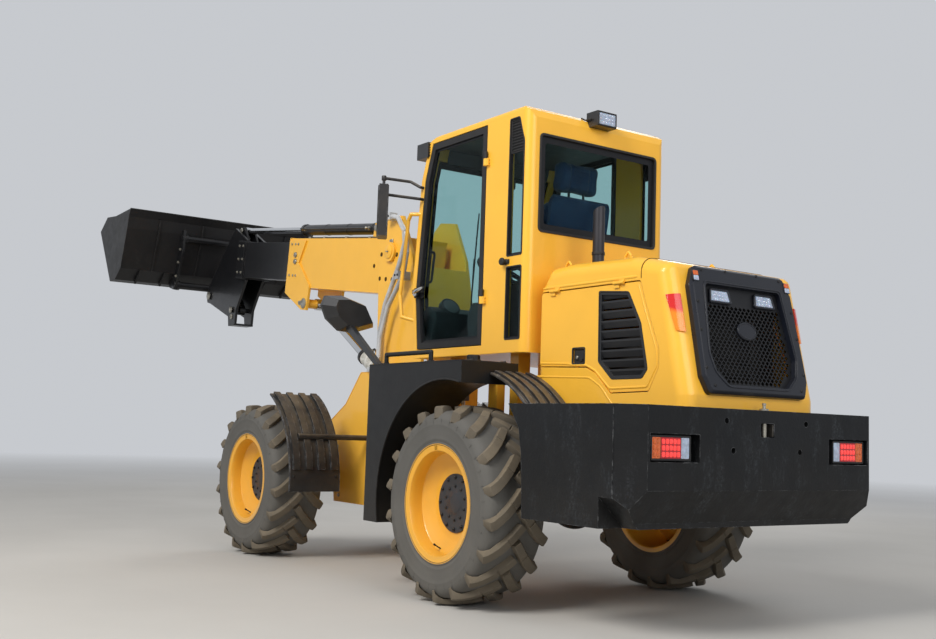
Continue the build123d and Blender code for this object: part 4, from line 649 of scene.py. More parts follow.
# The rim from its outer lip over the dish to the hub's seat and back to its inner lip, as (radius, out)
RIM = [
    (306, 177), (338, 177), (340.5, 179.5), (340.5, 188), (338, 191), (334, 192), (326, 192), (323, 190.5),
    (304, 189), (297, 187.5), (293.5, 182), (291, 150), (289, 104), (285, 99.5), (280, 97), (262, 84),
    (220, 62), (206, 57.5), (160, 56.5), (120, 56.5), (120, 36), (200, 36), (214, 40), (258, 66), (280, 84),
    (288, 70), (290, 20), (292, -150), (294, -184), (298, -189), (304, -191), (338, -191), (340.5, -188),
    (340.5, -179.5), (338, -177), (306, -177),
]
HUB = [(120, -34), (120, 40), (150, 56), (168, 57), (168, 63), (166, 65.5), (128, 66), (124, 64.6),
       (58, 64.6), (55, 66.5), (50, 67.5)]


def wheel_metal(end, side, x, s):
    """The painted rim, with its lock ring, and the black hub with its nuts and the valve."""
    body = f"wheel_{end}_{side}"
    centre, out = (x, s * TRACK / 2, TYRE_R), (0, s, 0)

    def spot(turn, r, rise):
        return (x + r * math.cos(turn), s * (TRACK / 2 + rise), TYRE_R + r * math.sin(turn))

    form = Form()
    form.turn(RIM, centre, out, 96, around=True)
    form.turn([(331, 190), (332, 194), (336, 194), (337, 190)], centre, out, 96, around=True)
    # A thin ring and two short marks in painted shade stand for the gap beside the lock ring and its split
    form.look = 1
    form.turn([(328.6, 190), (328.6, 192.4), (330.8, 192.4), (330.8, 190)], centre, out, 96, around=True)
    for turn, wide in ((math.radians(84), 3.2), (math.radians(87), 2.4)):
        mark = oblong(-wide / 2, wide / 2, 300, 331)
        form.slab(mark, lambda a, b, c, turn=turn: spot(turn + a / 315, b, 191.6 + c), -1, 1.0, 0.2)
    piece(f"rim_detail_{end}_{side}", form, body, "yellow_paint", ("yellow_rim", "seam"),
          (f"rim_{end}_{side}",))

    form = Form()
    form.turn(HUB, centre, out, 64)
    form.look = 1
    for n in range(12):
        foot = spot(2 * math.pi * n / 12, 147, 65.6)
        form.bolt(foot, out, 8.5)
        form.turn([(5, 5), (5, 10), (4, 11)], foot, out, 10)
    for n in range(10):
        form.bolt(spot(2 * math.pi * (n + 0.5) / 10, 96, 64.6), out, 6.5)
    valve = [spot(-1.25, 286, 62), spot(-1.25, 278, 92), spot(-1.24, 268, 112), spot(-1.24, 256, 134)]
    form.tube(valve, 4.2, 8, 14)
    form.turn([(6.2, 0), (6.2, 12), (5, 14)], valve[-1], Vector(valve[-1]) - Vector(valve[-2]), 10)
    piece(f"wheel_trim_{end}_{side}", form, body, "black_paint", ("hub", "dark_bolt"))


def wheels():
    """Tyres, rims and hubs; each side's tyre mesh is built once, and the front tyre takes a copy of it."""
    for side, s in SIDES.items():
        mesh = tyre_mesh("tyre_" + side, s)
        for end, x in AXLES.items():
            own = mesh if end == "rear" else mesh.copy()
            stand(f"tyre_detail_{end}_{side}", own, f"wheel_{end}_{side}", "tyre_rubber",
                  ("tyre", "lug") if end == "rear" else (), (f"tyre_{end}_{side}",), 32,
                  at(x, s * TRACK / 2, TYRE_R))
            wheel_metal(end, side, x, s)


# Rear end: counterweight fittings and lamps
def lamp_cells(form, place, x0, x1, y0, y1, columns, rows, level, rise, look):
    """A grid of small domed cells between two corners."""
    form.look = look
    x0, x1 = sorted((x0, x1))
    dx, dy = (x1 - x0) / columns, (y1 - y0) / rows
    for i in range(columns):
        for j in range(rows):
            cx, cy = x0 + (i + 0.5) * dx, y0 + (j + 0.5) * dy
            rings = []
            for scale, lift in ((0.84, 0), (0.74, rise * 0.7), (0.42, rise)):
                hx, hy = dx / 2 * scale, dy / 2 * scale
                outline = oblong(cx - hx, cx + hx, cy - hy, cy + hy, min(hx, hy) * 0.6, 2)
                rings.append([place(a, b, level + lift) for a, b in outline])
            form.loft(rings, (False, True))


def rear_lights(side, s):
    """A tail lamp in its pocket: amber, red and white windows with lit cells."""
    form = Form()
    place = back_face(-1487)
    form.band([(s * a, b) for a, b in oblong(538, 803, 866, 987, 8)], place, 9, -12, 5, 1.5)
    spans = ((738, 794, 2, 3, 1), (602, 736, 5, 3, 2), (547, 600, 1, 1, 4))
    for y0, y1, columns, rows, look in spans:
        form.look = look
        form.slab([(s * a, b) for a, b in oblong(y0, y1, 876, 977, 5)], place, -6, 2.5, 1.2)
        lamp_cells(form, place, s * (y0 + 4), s * (y1 - 4), 880, 973, columns, rows, 2.3, 3.0,
                   3 if look == 2 else look)
    piece("rear_lights_" + side, form, "rear_body", "lamp_plastic",
          ("rubber", "amber", "red", "led", "clear"))


def counterweight_fittings():
    """Bolts, tow pin, liner plates and beads on the counterweight."""
    form = Form()
    # Socket screws deep in the bolt holes
    for s in SIDES.values():
        for y, z in ((301, 1068), (252, 921)):
            head = [(12.5, 0), (12.5, 15), (11.2, 16.5), (7.0, 16.5), (6.4, 15.5), (6.4, 7)]
            form.turn(head, (-1463, s * y, z), (-1, 0, 0), 18)
            form.look = 1
            form.turn([(17.6, -6), (17.6, -0.2), (15.8, -0.2), (15.4, -6)], (-1505, s * y, z), (-1, 0, 0),
                      24, around=True)
            form.look = 0
    # The tow pin with its collar and pull ring
    form.turn([(12.6, -160), (13.2, -154), (13.2, 0), (24, 0), (24, 7), (21, 9), (9, 10), (9, 26), (11, 28),
               (11, 34), (8, 37)], (-1480, 0, 1129.5), (0, 0, 1), 24)
    # Liner plates in the tow pocket
    form.look = 2
    for s in SIDES.values():
        form.slab(oblong(-1500, -1400, 996, 1058, 4), side_face(-49.5, s), 0, 5, 1)
    form.look = 1
    # Beads where the wings' plates meet the end block
    for s in SIDES.values():
        form.weld([(-1390, s * 951, 700), (-1390, s * 951, 1124)], 3.2, 9)
        form.weld([(-1040, s * 561, 1130), (-600, s * 561, 1130)], 3.0, 9)
    piece("counterweight_fittings", form, "rear_body", "black_paint", ("zinc", "weight_black", "wear"))


def grille_fittings():
    """Lamps, badge, rib and screws on the grille's surround."""
    form = Form()
    # Bezels and cells of the two work lamps
    for s in SIDES.values():
        bezel = [(s * 170 - 84, 490), (s * 170 + 84, 490), (s * 170 + 70, 570), (s * 170 - 70, 570)]
        form.look = 0
        form.band(rounded(bezel, 14), grille_face, 12, 16, 31, 3)
        form.look = 3
        form.slab(rounded(inset(bezel, 11), 8), grille_face, 16, 25.5, 1.5)
        lamp_cells(form, grille_face, s * 170 - 58, s * 170 + 58, 503, 557, 6, 3, 25.3, 2.4, 3)
        # Marker lamps at the surround's upper corners
        form.look = 0
        form.slab(oblong(s * 352 - 22, s * 352 + 22, 588, 648, 7), grille_face, 44, 49, 1.5)
        form.look = 3
        form.slab(oblong(s * 352 - 17, s * 352 + 17, 592, 618, 4), grille_face, 48, 53, 1.5)
        form.look = 2
        form.slab(oblong(s * 352 - 17, s * 352 + 17, 620, 644, 4), grille_face, 48, 53, 1.5)
    # The blank badge, the surround's screws and a rib round the window
    form.look = 0
    badge = [(72 * math.cos(a), 353 + 50 * math.sin(a)) for a in [2 * math.pi * k / 40 for k in range(40)]]
    form.slab(badge, grille_face, 15, 25, 3)
    form.band(inset(badge, 7), grille_face, 3, 24.5, 26.5, 0.8)
    window = [(225, 48), (300, 115), (326, 210), (286, 585)]
    full = window + [(-a, b) for a, b in reversed(window)]
    form.band(rounded(inset(full, -16), 30), grille_face, 9, 44, 49, 2)
    form.look = 1
    for a, b in ((330, 40), (372, 130), (368, 330), (360, 480), (300, 655), (120, 664)):
        for s in SIDES.values():
            form.turn([(9, 44.5), (9, 46.5), (7, 49), (3.2, 49.4), (3.0, 47.5)],
                      grille_face(s * a, b, 0), (-GRILLE_RISE, 0, GRILLE_LEAN), 16)
    piece("grille_fittings", form, "rear_body", "black_plastic",
          ("surround", "dark_bolt", "amber", "clear"))


MESH_PITCH, MESH_ROW, MESH_LIP = 32.0, 19.0, 0.76


def window_half(b):
    """Half the width of the grille's window at a distance up the slope."""
    edge = [(48, 225), (115, 300), (210, 326), (585, 286)]
    for (b0, a0), (b1, a1) in zip(edge, edge[1:]):
        if b0 <= b <= b1:
            return a0 + (a1 - a0) * (b - b0) / (b1 - b0)
    return 0.0


def fine_mesh():
    """The perforated sheet: six-sided cells, open where they lie well inside the window."""
    form = Form()
    upper = (MESH_PITCH ** 2 / 4 + MESH_ROW ** 2) / (2 * MESH_ROW)
    side = MESH_ROW - upper
    cell = [(MESH_PITCH / 2, -side), (MESH_PITCH / 2, side), (0, upper), (-MESH_PITCH / 2, side),
            (-MESH_PITCH / 2, -side), (0, -upper)]
    for row in range(31):
        b = 36 + row * MESH_ROW
        for n in range(-11, 12):
            a = (n + 0.5 * (row % 2)) * MESH_PITCH
            if abs(a) > max(window_half(b), window_half(b + 12), window_half(b - 12)) + 6:
                continue
            outer = [(a + p, b + q) for p, q in cell]
            room = min(window_half(b - upper), window_half(b + upper)) - 24
            badge = math.hypot(a / 66, (b - 353) / 45) < 1
            if abs(a) < room and 62 < b < 474 and not badge:
                inner = [(a + p * MESH_LIP, b + q * MESH_LIP) for p, q in cell]
                rims = [[grille_face(p, q, level) for p, q in line] for line, level in
                        ((outer, 10.5), (inner, 10.5), (inner, 14.5), (outer, 14.5))]
                form.loft(rims, (False, False))
            else:
                for level in (10.5, 14.5):
                    form.face([form.mesh.verts.new(grille_face(p, q, level)) for p, q in outer])
    bmesh.ops.remove_doubles(form.mesh, verts=form.mesh.verts, dist=0.05)
    piece("fine_mesh", form, "rear_body", "black_plastic", ("mesh",), ("grille_mesh",), 30)


def radiator():
    """The cooler behind the grille: two tanks, side posts and rows of tubes on the counterweight."""
    form = Form()
    face = back_face(-1150)
    form.slab(oblong(-300, 300, 1150, 1210, 12), face, -90, 0, 5)
    form.slab(oblong(-290, 290, 1690, 1750, 16), face, -85, -5, 6)
    for s in SIDES.values():
        form.slab(oblong(s * 290 - 14, s * 290 + 14, 1200, 1700), face, -85, -8, 2)
        form.slab(oblong(s * 240 - 30, s * 240 + 30, 1129.5, 1152, 3), face, -80, -10, 2)
        form.bolt((-1105, s * 240, 1152), (0, 0, 1), 8)
        # Baffle between the cooler and the hood's side
        form.slab(oblong(s * 380 - 84, s * 380 + 84, 1165, 1748, 20), face, -9, -5, 1)
    form.look = 1
    form.slab(oblong(-278, 278, 1208, 1692), face, -70, -22, 1)
    for n in range(30):
        z = 1214 + n * 16
        form.slab(oblong(-277, 277, z, z + 6), face, -23, -15, 1.5)
    form.look = 0
    form.turn([(34, 0), (34, 8), (27, 12), (27, 20), (38, 22), (38, 32), (34, 35)], (-1110, -120, 1748),
              (0, 0, 1), 24)
    form.tube([(-1065, 190, 1716), (-1020, 190, 1730), (-960, 190, 1690), (-960, 190, 1560)], 26, 14, 50)
    piece("radiator", form, "rear_body", "grey_iron", ("iron", "core"))


# Hood: latches, ribs, seam and the exhaust's collar
def hood_trim(side, s):
    """Latch, louvre bead and rib of a hood door."""
    body = "hood_door_" + side
    form = Form()
    pocket = side_face(485.0, s)
    form.band(oblong(-646, -534, 1362, 1458, 12), side_face(495.0, s), 10, -3, 3.5, 1.5)
    form.slab(oblong(-636, -544, 1372, 1448, 6), pocket, 0, 1.5, 0.5)
    form.slab(oblong(-628, -560, 1388, 1440, 8), pocket, 1, 9, 2.5)
    form.slab(oblong(-624, -596, 1380, 1396, 4), pocket, 8, 12, 1.2)
    form.look = 1
    form.turn([(9, 0), (9, 3), (7.5, 4.2), (2.5, 4.2), (2.5, 1)], (-577, s * 493.5, 1402), (0, s, 0), 16)
    # Rubber bead round the louvre and a shallow rib that follows the door's edge
    form.look = 0
    louvre = [(-754, 1755), (-986, 1735), (-1081, 1566), (-1135, 1324), (-1096, 1279), (-866, 1278),
              (-759, 1373)]
    form.band(rounded(inset(louvre, -5), 14), side_face(495, s), 8, -3, 2.6, 1.0)
    form.look = 2
    rib = [(-256, 1378), (-500, 1369), (-550, 1359), (-655, 1357), (-730, 1326), (-850, 1226),
           (-1134, 1232), (-1202, 1336), (-1200, 1424), (-1100, 1666), (-1062, 1770)]
    form.tube([(x, s * 491, z) for x, z in rib], 8, 12, 14)
    piece("hood_latch_" + side, form, body, "black_plastic", ("rubber", "zinc", "yellow_trim"))


def hood_seams():
    """A strip of painted shade across the hood where its panels join, rolled edges on its sides and the
    exhaust's collar.
    """
    form = Form()
    x, low, corner, radius = -1085, 1800, 1834.5, 80

    def section(proud):
        """(y, z) places across the top and down both sides of the hood's rounded section."""
        points = [(500 + proud, low), (500 + proud, corner)]
        points += [(420 + (radius + proud) * math.cos(a), corner + (radius + proud) * math.sin(a))
                   for a in [math.radians(15 * k) for k in range(1, 7)]]
        return points + [(-y, z) for y, z in reversed(points)]

    # The joint is a thin strip of painted shade, standing for the gap between the hood's panels
    form.loft([[(x - 2.5, y0, z0), (x + 2.5, y0, z0), (x + 2.5, y1, z1), (x - 2.5, y1, z1)]
               for (y0, z0), (y1, z1) in zip(section(0.9), section(-2))])
    # Rolled edges above the doors and below them
    form.look = 2
    for s in SIDES.values():
        form.tube([(x, s * 494, 1812) for x in (-258, -290, -1040, -1078)], [3, 11, 11, 3], 12)
        form.tube([(-224, s * 495, 1302), (-690, s * 495, 1288), (-782, s * 495, 1238),
                   (-884, s * 495, 1134)], 8, 12, 24)
    form.look = 1
    form.turn([(36, 0), (66, 0), (66, 4), (63, 6), (50, 7), (45, 12), (40, 34), (36.2, 36)],
              (-400, 200, 1943.5), (0, 0, 1), 40, around=True)
    for n in range(4):
        a = math.radians(45 + 90 * n)
        form.bolt((-400 + 57 * math.cos(a), 200 + 57 * math.sin(a), 1949), (0, 0, 1), 4.5)
    form.turn([(35.4, 0), (38.5, 0), (39, 2), (39, 16), (38.5, 18), (35.4, 18)], (-400, 200, 2030),
              (0, 0, 1), 40, around=True)
    form.bolt((-439, 200, 2039), (-1, 0, 0), 4)
    piece("hood_seams", form, "rear_body", "black_plastic", ("seam", "rubber", "yellow_trim"))


# Guards, side boxes and steps
def arc_edge(form, x, radius, y, arc, thick, steps=36):
    points = []
    for n in range(steps + 1):
        a = math.radians(arc[0] + (arc[1] - arc[0]) * n / steps)
        points.append((x + radius * math.cos(a), y, TYRE_R + radius * math.sin(a)))
    form.tube(points, thick, 8)


def guard_trim(side, s):
    """Rolled edges and bolts of the mudguards on one side."""
    form = Form()
    for y in (513, 795):
        arc_edge(form, 0.0, 764, s * y, (104, 142.6), 8)
    form.look = 1
    for degrees, y in ((108, 540), (108, 768), (123, 540), (123, 768), (138, 540), (138, 768)):
        a = math.radians(degrees)
        form.bolt((771 * math.cos(a), s * y, TYRE_R + 771 * math.sin(a)), (math.cos(a), 0, math.sin(a)), 8)
    piece("rear_guard_trim_" + side, form, "rear_body", "black_plastic", ("plastic", "dark_bolt"))
    form = Form()
    for y in (605, 995):
        arc_edge(form, WHEELBASE, 712, s * y, (117.6, 183.9), 8)
    form.look = 1
    for degrees in (124, 150, 176):
        a = math.radians(degrees)
        for y in (632, 968):
            form.bolt((WHEELBASE + 719 * math.cos(a), s * y, TYRE_R + 719 * math.sin(a)),
                      (math.cos(a), 0, math.sin(a)), 8)
    piece("front_guard_trim_" + side, form, "front_body", "black_plastic", ("plastic", "dark_bolt"))


def side_box_trim(side, s):
    """A rolled lip on the arch, and raised treads, the rail's feet and a lid on top."""
    form = Form()
    points = []
    for n in range(43):
        a = math.radians(103.5 - 2.75 * n)
        x, z = 705 * math.cos(a), TYRE_R + 705 * math.sin(a)
        if z > 402:
            points.append((x, s * 999, z))
    form.tube(points, 6, 8)
    form.weld([(-176, s * 1001, 1371), (846, s * 1001, 1371)], 2.6, 10)
    # Raised tread marks, turned one way and then the other
    for i in range(21):
        for j in range(7):
            x, y, turn = 210 + i * 30, 640 + j * 46, math.radians(45 if (i + j) % 2 else -45)
            if 925 < y < 975:
                continue
            c, t = math.cos(turn), math.sin(turn)
            mark = [(x + 14 * c, y + 14 * t), (x - 4.5 * t, y + 4.5 * c), (x - 14 * c, y - 14 * t),
                    (x + 4.5 * t, y - 4.5 * c)]
            form.slab([(a, s * b) for a, b in mark], top_face(BOX_TOP), -1, 2.2, 1.2)
    # Feet of the rail with their bolts
    for x in (214, 726):
        form.slab(oblong(x - 34, x + 34, s * 950 - 26, s * 950 + 26, 8), top_face(BOX_TOP), 0, 7, 1.5)
        form.look = 1
        for dx in (-24, 24):
            form.bolt((x + dx, s * 950, 1379), (0, 0, 1), 5)
        form.look = 0
    # A lid with two hinges on both sides, a filler cap on the left and a pull on the right
    form.slab(oblong(-150, 130, s * 800 - 150, s * 800 + 150, 20), top_face(BOX_TOP), 0, 5, 2)
    form.look = 1
    for x in (-90, 70):
        form.tube([(x - 24, s * 645, 1380), (x + 24, s * 645, 1380)], 6, 10)
    form.look = 0
    if s > 0:
        form.turn([(44, 5), (44, 16), (38, 18), (38, 40), (34, 44), (10, 46)], (-10, 800, BOX_TOP),
                  (0, 0, 1), 30)
        for n in range(10):
            a = 2 * math.pi * n / 10
            x, y = -10 + 38.5 * math.cos(a), 800 + 38.5 * math.sin(a)
            form.tube([(x, y, 1391), (x, y, 1411)], 3, 6)
    else:
        form.tube([(-40, -800, 1378), (-40, -800, 1404), (30, -800, 1404), (30, -800, 1378)], 7, 10, 16)
    piece("side_box_trim_" + side, form, "rear_body", "black_paint", ("black", "dark_bolt"))


# Cab: window rubbers, vents, door fittings and what shows through the glass
CAB_FRONT = [(1026, 1444), (1034, 1522), (1086, 1885), (1009, 2648), (924, 2898), (830, ROOF_Z)]


def screen_x(z):
    """How far forward the cab's front stands at a height."""
    for (x0, z0), (x1, z1) in zip(CAB_FRONT, CAB_FRONT[1:]):
        if z0 <= z <= z1:
            return x0 + (x1 - x0) * (z - z0) / (z1 - z0)
    return CAB_FRONT[0][0]


def screen_face(a, b, c):
    """Places (y, z, out) on the cab's bent front."""
    return (screen_x(b) + c, a, b)


def quarter_outlines():
    return [[(-125, 1524), (20, 1524), (20, 1962), (-125, 1962)],
            [(-125, 2026), (20, 2026), (20, 2870), (-75, 2870), (-125, 2720)]]


def window_rubbers():
    """Rubbers round the cab's fixed glass, and the vents beside the seat's back."""
    form = Form()
    rear = oblong(-470, 470, 2174, 2759, 26, 5)
    form.band(inset(rear, -9), back_face(-170), 15, -14, 5, 2)
    # The dark border of the rear glass
    form.look = 1
    form.rim(oblong(-467, 467, 2177, 2756, 24, 5), oblong(-424, 424, 2220, 2713, 16, 5), back_face(-156),
             -0.2, 0.6)
    form.look = 0
    levels = [1600, 1700, 1800, 1885, 2000, 2120, 2240, 2360, 2480, 2580, 2648, 2720, 2790]
    screen = [(480, z) for z in levels] + [(-480, z) for z in reversed(levels)]
    form.band(inset(screen, -8), screen_face, 16, -13, 5, 2)
    form.look = 1
    form.band(inset(screen, 4), screen_face, 40, -14, -12.6, 0.3)
    for s in SIDES.values():
        for outline in quarter_outlines():
            form.look = 0
            form.band(inset(rounded(outline, 12), -3), side_face(CAB_Y, s), 9, -13, 2.5, 1)
            form.look = 1
            form.band(inset(outline, 4), side_face(GLASS_Y, s), 15, -0.2, 0.6, 0.2)
        # Louvred vent at the head of the upper side window
        form.look = 0
        vent = [(-119, 2652), (14, 2652), (14, 2864), (-74, 2864), (-119, 2722)]
        form.band(rounded(vent, 8), side_face(GLASS_Y, s), 9, 0, 9, 1.5)
        for n in range(11):
            z = 2664 + n * 18
            x0 = -112 if z < 2722 else -112 + (z - 2722) * 0.32
            section = [(x0, z), (8, z), (8, z + 8), (x0 + 2, z + 8)]
            form.slab(section, side_face(GLASS_Y, s), 1, 8 - (n % 2) * 0.01, 2.5)
        form.slab(inset(vent, 5), side_face(GLASS_Y, s), 0, 1.2, 0.3)
        # Latch knob ahead of the cross bar
        form.turn([(19, 0), (19, 4), (14, 8), (14, 22), (23, 27), (23, 37), (18, 42)],
                  (24, s * CAB_Y, 1993), (0, s, 0), 24)
        form.slab(oblong(-10, 60, 1978, 2008, 8), side_face(CAB_Y, s), 0, 4, 1)
    piece("window_rubbers", form, "rear_body", "black_plastic", ("rubber", "mesh"))


def cab_outside():
    """Roof eyes, lamp bezels with their cells, roof socket, wiper and hinge bolts."""
    form = Form()
    for s in SIDES.values():
        for x, y in ((640, 420), (120, 420)):
            form.slab(oblong(x - 34, x + 34, s * y - 18, s * y + 18, 8), top_face(ROOF_Z), -1, 5, 1.5)
            form.tube([(x - 22, s * y, 2936), (x - 22, s * y, 2962), (x, s * y, 2984),
                       (x + 22, s * y, 2962), (x + 22, s * y, 2936)], 7, 10, 16)
        # Weld bead along the foot of the cab
        form.weld([(-120, s * 559, 1450), (960, s * 559, 1450)], 2.6, 10)
    form.look = 1
    # Bezels and cells of the roof lamps
    for s in SIDES.values():
        outline = [(s * a, b) for a, b in oblong(447, 573, 2802, 2903, 10)]
        form.band(outline, front_face(1060), 9, -4, 6, 2)
        form.look = 3
        form.slab(inset(outline, 8), front_face(1060), -2, 2, 1)
        lamp_cells(form, front_face(1060), s * 458, s * 562, 2813, 2892, 4, 3, 1.8, 2.6, 3)
        form.look = 1
        for n in range(5):
            form.slab(oblong(s * 452, s * 568, 2812 + n * 18, 2818 + n * 18), back_face(925), -1, 9, 1)
    outline = oblong(-60, 90, 2870, 2960, 10)
    form.band(outline, back_face(-245), 9, -4, 6, 2)
    form.look = 3
    form.slab(inset(outline, 8), back_face(-245), -2, 2, 1)
    lamp_cells(form, back_face(-245), -49, 79, 2881, 2949, 5, 3, 1.8, 2.6, 3)
    form.look = 1
    for y, out in ((-66, -78), (96, 108)):
        form.tube([(-190, y, 2915), (-190, out, 2915), (-150, out, 2912), (-110, out, ROOF_Z)], 5, 8, 12)
    # Beacon socket on the roof
    form.turn([(30, 0), (30, 6), (24, 10), (9, 12), (9, 44), (6, 46)], (60, -400, ROOF_Z), (0, 0, 1), 20)
    # Wiper on the windscreen
    foot = screen_face(60, 1640, 8)
    form.turn([(26, -12), (26, 4), (20, 10), (9, 12), (9, 18)], foot, (1, 0, -0.14), 20)
    tip = screen_face(60, 2180, 20)
    form.tube([(foot[0] + 12, 60, 1640), (foot[0] + 40, 60, 1800), tip], 5, 8, 60)
    blade = [screen_face(60, z, 9) for z in (1900, 1990, 2080, 2180, 2290, 2400, 2500)]
    form.tube(blade, 4.5, 6)
    form.tube([screen_face(60, z, 15) for z in (1940, 2060, 2180, 2320, 2450)], 3, 6)
    form.look = 2
    for s in SIDES.values():
        for z in (1755, 2620):
            for dz in (12, 33):
                form.bolt((224, s * 566, z + dz), (0, s, 0), 4)
    piece("cab_outside", form, "rear_body", "yellow_paint", ("yellow_trim", "rubber", "dark_bolt", "clear"))


def door_fittings(side, s):
    """Glass border, lever, pull and hinge bolts of a cab door."""
    form = Form()
    # Glass border and the bright lever
    outline = [(304, 1547), (950, 1547), (992, 1880), (916, 2627), (852, 2838), (304, 2838)]
    form.band(outline, side_face(GLASS_Y, s), 16, -0.3, 0.7, 0.2)
    form.look = 1
    form.tube([(1012, s * 590, 1884), (985, s * 606, 1886), (940, s * 609, 1893), (902, s * 607, 1902),
               (884, s * 604, 1908)], [9, 12, 12, 11, 6], 12)
    form.turn([(24, 0), (24, 10), (20, 14)], (1000, s * 582, 1882), (0, s, 0), 20)
    form.look = 0
    form.slab(oblong(930, 986, 1846, 1926, 8), side_face(CAB_Y, s), 0, 5, 1.5)
    # Inner pull and the hinges' bolts
    form.tube([(960, s * 520, 1960), (960, s * 486, 1960), (930, s * 486, 2160), (930, s * 520, 2160)], 9,
              10, 26)
    form.look = 2
    for z in (1800, 2665):
        for dz in (11, 33):
            form.bolt((272, s * 579, z + dz), (0, s, 0), 4, False)
    piece("door_fittings_" + side, form, "cab_door_" + side, "black_plastic",
          ("mesh", "chrome", "dark_bolt"))


def cab_inside():
    """Floor mat, dash, wheel grip, levers, pedals, consoles and head lining."""
    form = Form()
    # Floor mat with ribs
    form.slab(oblong(-120, 960, -505, 505, 20), top_face(1484), 0, 6, 2)
    for n in range(14):
        y = -420 + n * 64
        if abs(y) > 175:
            form.slab(oblong(-60, 780, y - 6, y + 6, 2, 2), top_face(1490), -1, 2.5, 1)
    form.look = 1
    # Dash below the screen, as (x, z) sections across the cab
    dash = [(1020, 1492), (1028, 1560), (1046, 1700), (1040, 1780), (985, 1800), (905, 1760), (880, 1700),
            (900, 1600), (930, 1492)]
    rings = []
    for y, scale in ((-500, 0.88), (-480, 1.0), (-150, 1.0), (-120, 1.06), (120, 1.06), (150, 1.0),
                     (480, 1.0), (500, 0.88)):
        rings.append([(1020 + (x - 1020) * scale, y, 1492 + (z - 1492) * (scale if scale < 1 else 1))
                      for x, z in dash])
    form.loft(rings)
    # Consoles beside the seat and the lining under the roof
    for s in SIDES.values():
        side_run = [(-60, 1492), (520, 1492), (540, 1700), (500, 1790), (200, 1770), (20, 1900),
                    (-60, 1900)]
        form.slab(rounded(side_run, 30), side_face(330, s), 0, 150, 12)
        form.slab(oblong(150, 470, s * 400 - 42, s * 400 + 42, 20), top_face(1795), -10, 45, 14)
    form.slab(oblong(-110, 880, -500, 500, 60), lambda a, b, c: (a, b, 2892 - c), 0, 34, 14)
    form.slab(oblong(-126, -30, -500, 500, 20), top_face(1484), 0, 620, 20)
    form.look = 2
    # Loader lever with its gaiter, and two small levers
    rings = [(38, 0), (40, 8), (28, 20), (34, 28), (24, 40), (28, 48), (18, 60), (12, 70)]
    form.turn(rings, (430, -400, 1840), (0.1, 0, 1), 24)
    form.tube([(437, -400, 1905), (450, -400, 1990), (462, -404, 2040)], 8, 10)
    form.turn([(13, 0), (20, 14), (23, 40), (21, 62), (15, 74), (6, 80)], (462, -404, 2030), (0.14, 0, 1),
              20)
    for x in (300, 350):
        form.tube([(x, -400, 1838), (x + 8, -400, 1930)], 5, 8)
        form.turn([(7, 0), (14, 8), (15, 18), (10, 28), (4, 31)], (x + 8, -400, 1922), (0.08, 0, 1), 16)
    # Pedals
    for y, wide in ((-190, 46), (120, 34), (200, 34)):
        tread = [(y - wide, 0), (y + wide, 0), (y + wide - 5, 105), (y - wide + 5, 105)]
        form.slab(rounded(tread, 10),
                  lambda a, b, c: (850 + b * 0.72 - c * 0.6, a, 1530 + b * 0.6 + c * 0.72), 0, 9, 3)
        form.tube([(890, y, 1560), (925, y, 1560), (945, y, 1500)], 8, 8, 14)
    # Steering wheel grip with spoke covers, on the wheel's own slope
    tilt, centre = Vector((-0.55, 0, 0.835)), Vector((780, 0, 2074))
    profile = [(190 + 18.5 * math.cos(a), 18.5 * math.sin(a))
               for a in [2 * math.pi * k / 12 for k in range(12)]]
    form.turn(profile, centre, tilt, 56, around=True)
    form.turn([(44, -12), (48, 8), (40, 24), (16, 29)], centre, tilt, 32)
    form.look = 1
    for degrees in (90, 210, 330):
        a = math.radians(degrees)
        way = Vector((tilt.z * math.cos(a), math.sin(a), -tilt.x * math.cos(a))).normalized()
        form.tube([centre + way * 30, centre + way * 110, centre + way * 186], [22, 16, 13], 10)
    form.turn([(23, -150), (46, -130), (52, -90), (46, -40), (30, -20)], centre, tilt, 24)
    form.tube([(815, 40, 2010), (800, 150, 2050), (796, 190, 2062)], [7, 7, 10], 8)
    # Dials in their binnacle
    for look, profile in ((1, [(74, -40), (70, 0), (64, 4), (61, 1)]), (3, [(61, 0.4), (57, 1.6)])):
        form.look = look
        for y in (-330, 330):
            form.turn(profile, (945, y, 1812), (-0.8, 0, 0.6), 28)
    # Mirror on its stalk and sun visor
    form.look = 1
    form.tube([(905, 0, 2790), (880, 0, 2740)], 6, 8)
    form.slab(oblong(-130, 130, 2670, 2740, 18), back_face(884), 0, 22, 6)
    form.slab(oblong(-430, 430, 2772, 2872, 24), lambda a, b, c: (905 - c - (b - 2772) * 0.32, a, b), 0, 10,
              3)
    piece("cab_inside", form, "rear_body", "black_plastic", ("mat", "dash", "rubber", "grey"))


def mirror_face(centre, along, out):
    """Places (along, up, out) on one face of a mirror's housing."""
    return lambda a, b, c: centre + along * a + out * (30 + c) + Vector((0, 0, b))


def mirror_glasses():
    """Rims, glass and clamps of the two mirrors."""
    form = Form()
    turn = math.radians(-30)
    for s in SIDES.values():
        along = Vector((math.cos(turn), s * math.sin(turn), 0))
        out = Vector((-math.sin(turn), s * math.cos(turn), 0))
        centre = Vector((1125, s * 790, 2425))

        face, back = mirror_face(centre, along, -out), mirror_face(centre, along, out)
        form.look = 0
        outline = oblong(-84, 84, -174, 174, 22, 5)
        form.band(outline, face, 9, -3, 5, 2)
        form.slab(inset(outline, 4), back, -8, 8, 6)
        form.look = 1
        form.slab(inset(outline, 8), face, -1, 1.5, 0.5)
        form.look = 0
        for z in (2655, 2545):
            form.turn([(15, -16), (17, -12), (17, 12), (15, 16)], (1125, s * 790, z), (0, 0, 1), 16)
    piece("mirror_glasses", form, "rear_body", "black_plastic", ("plastic", "mirror"))


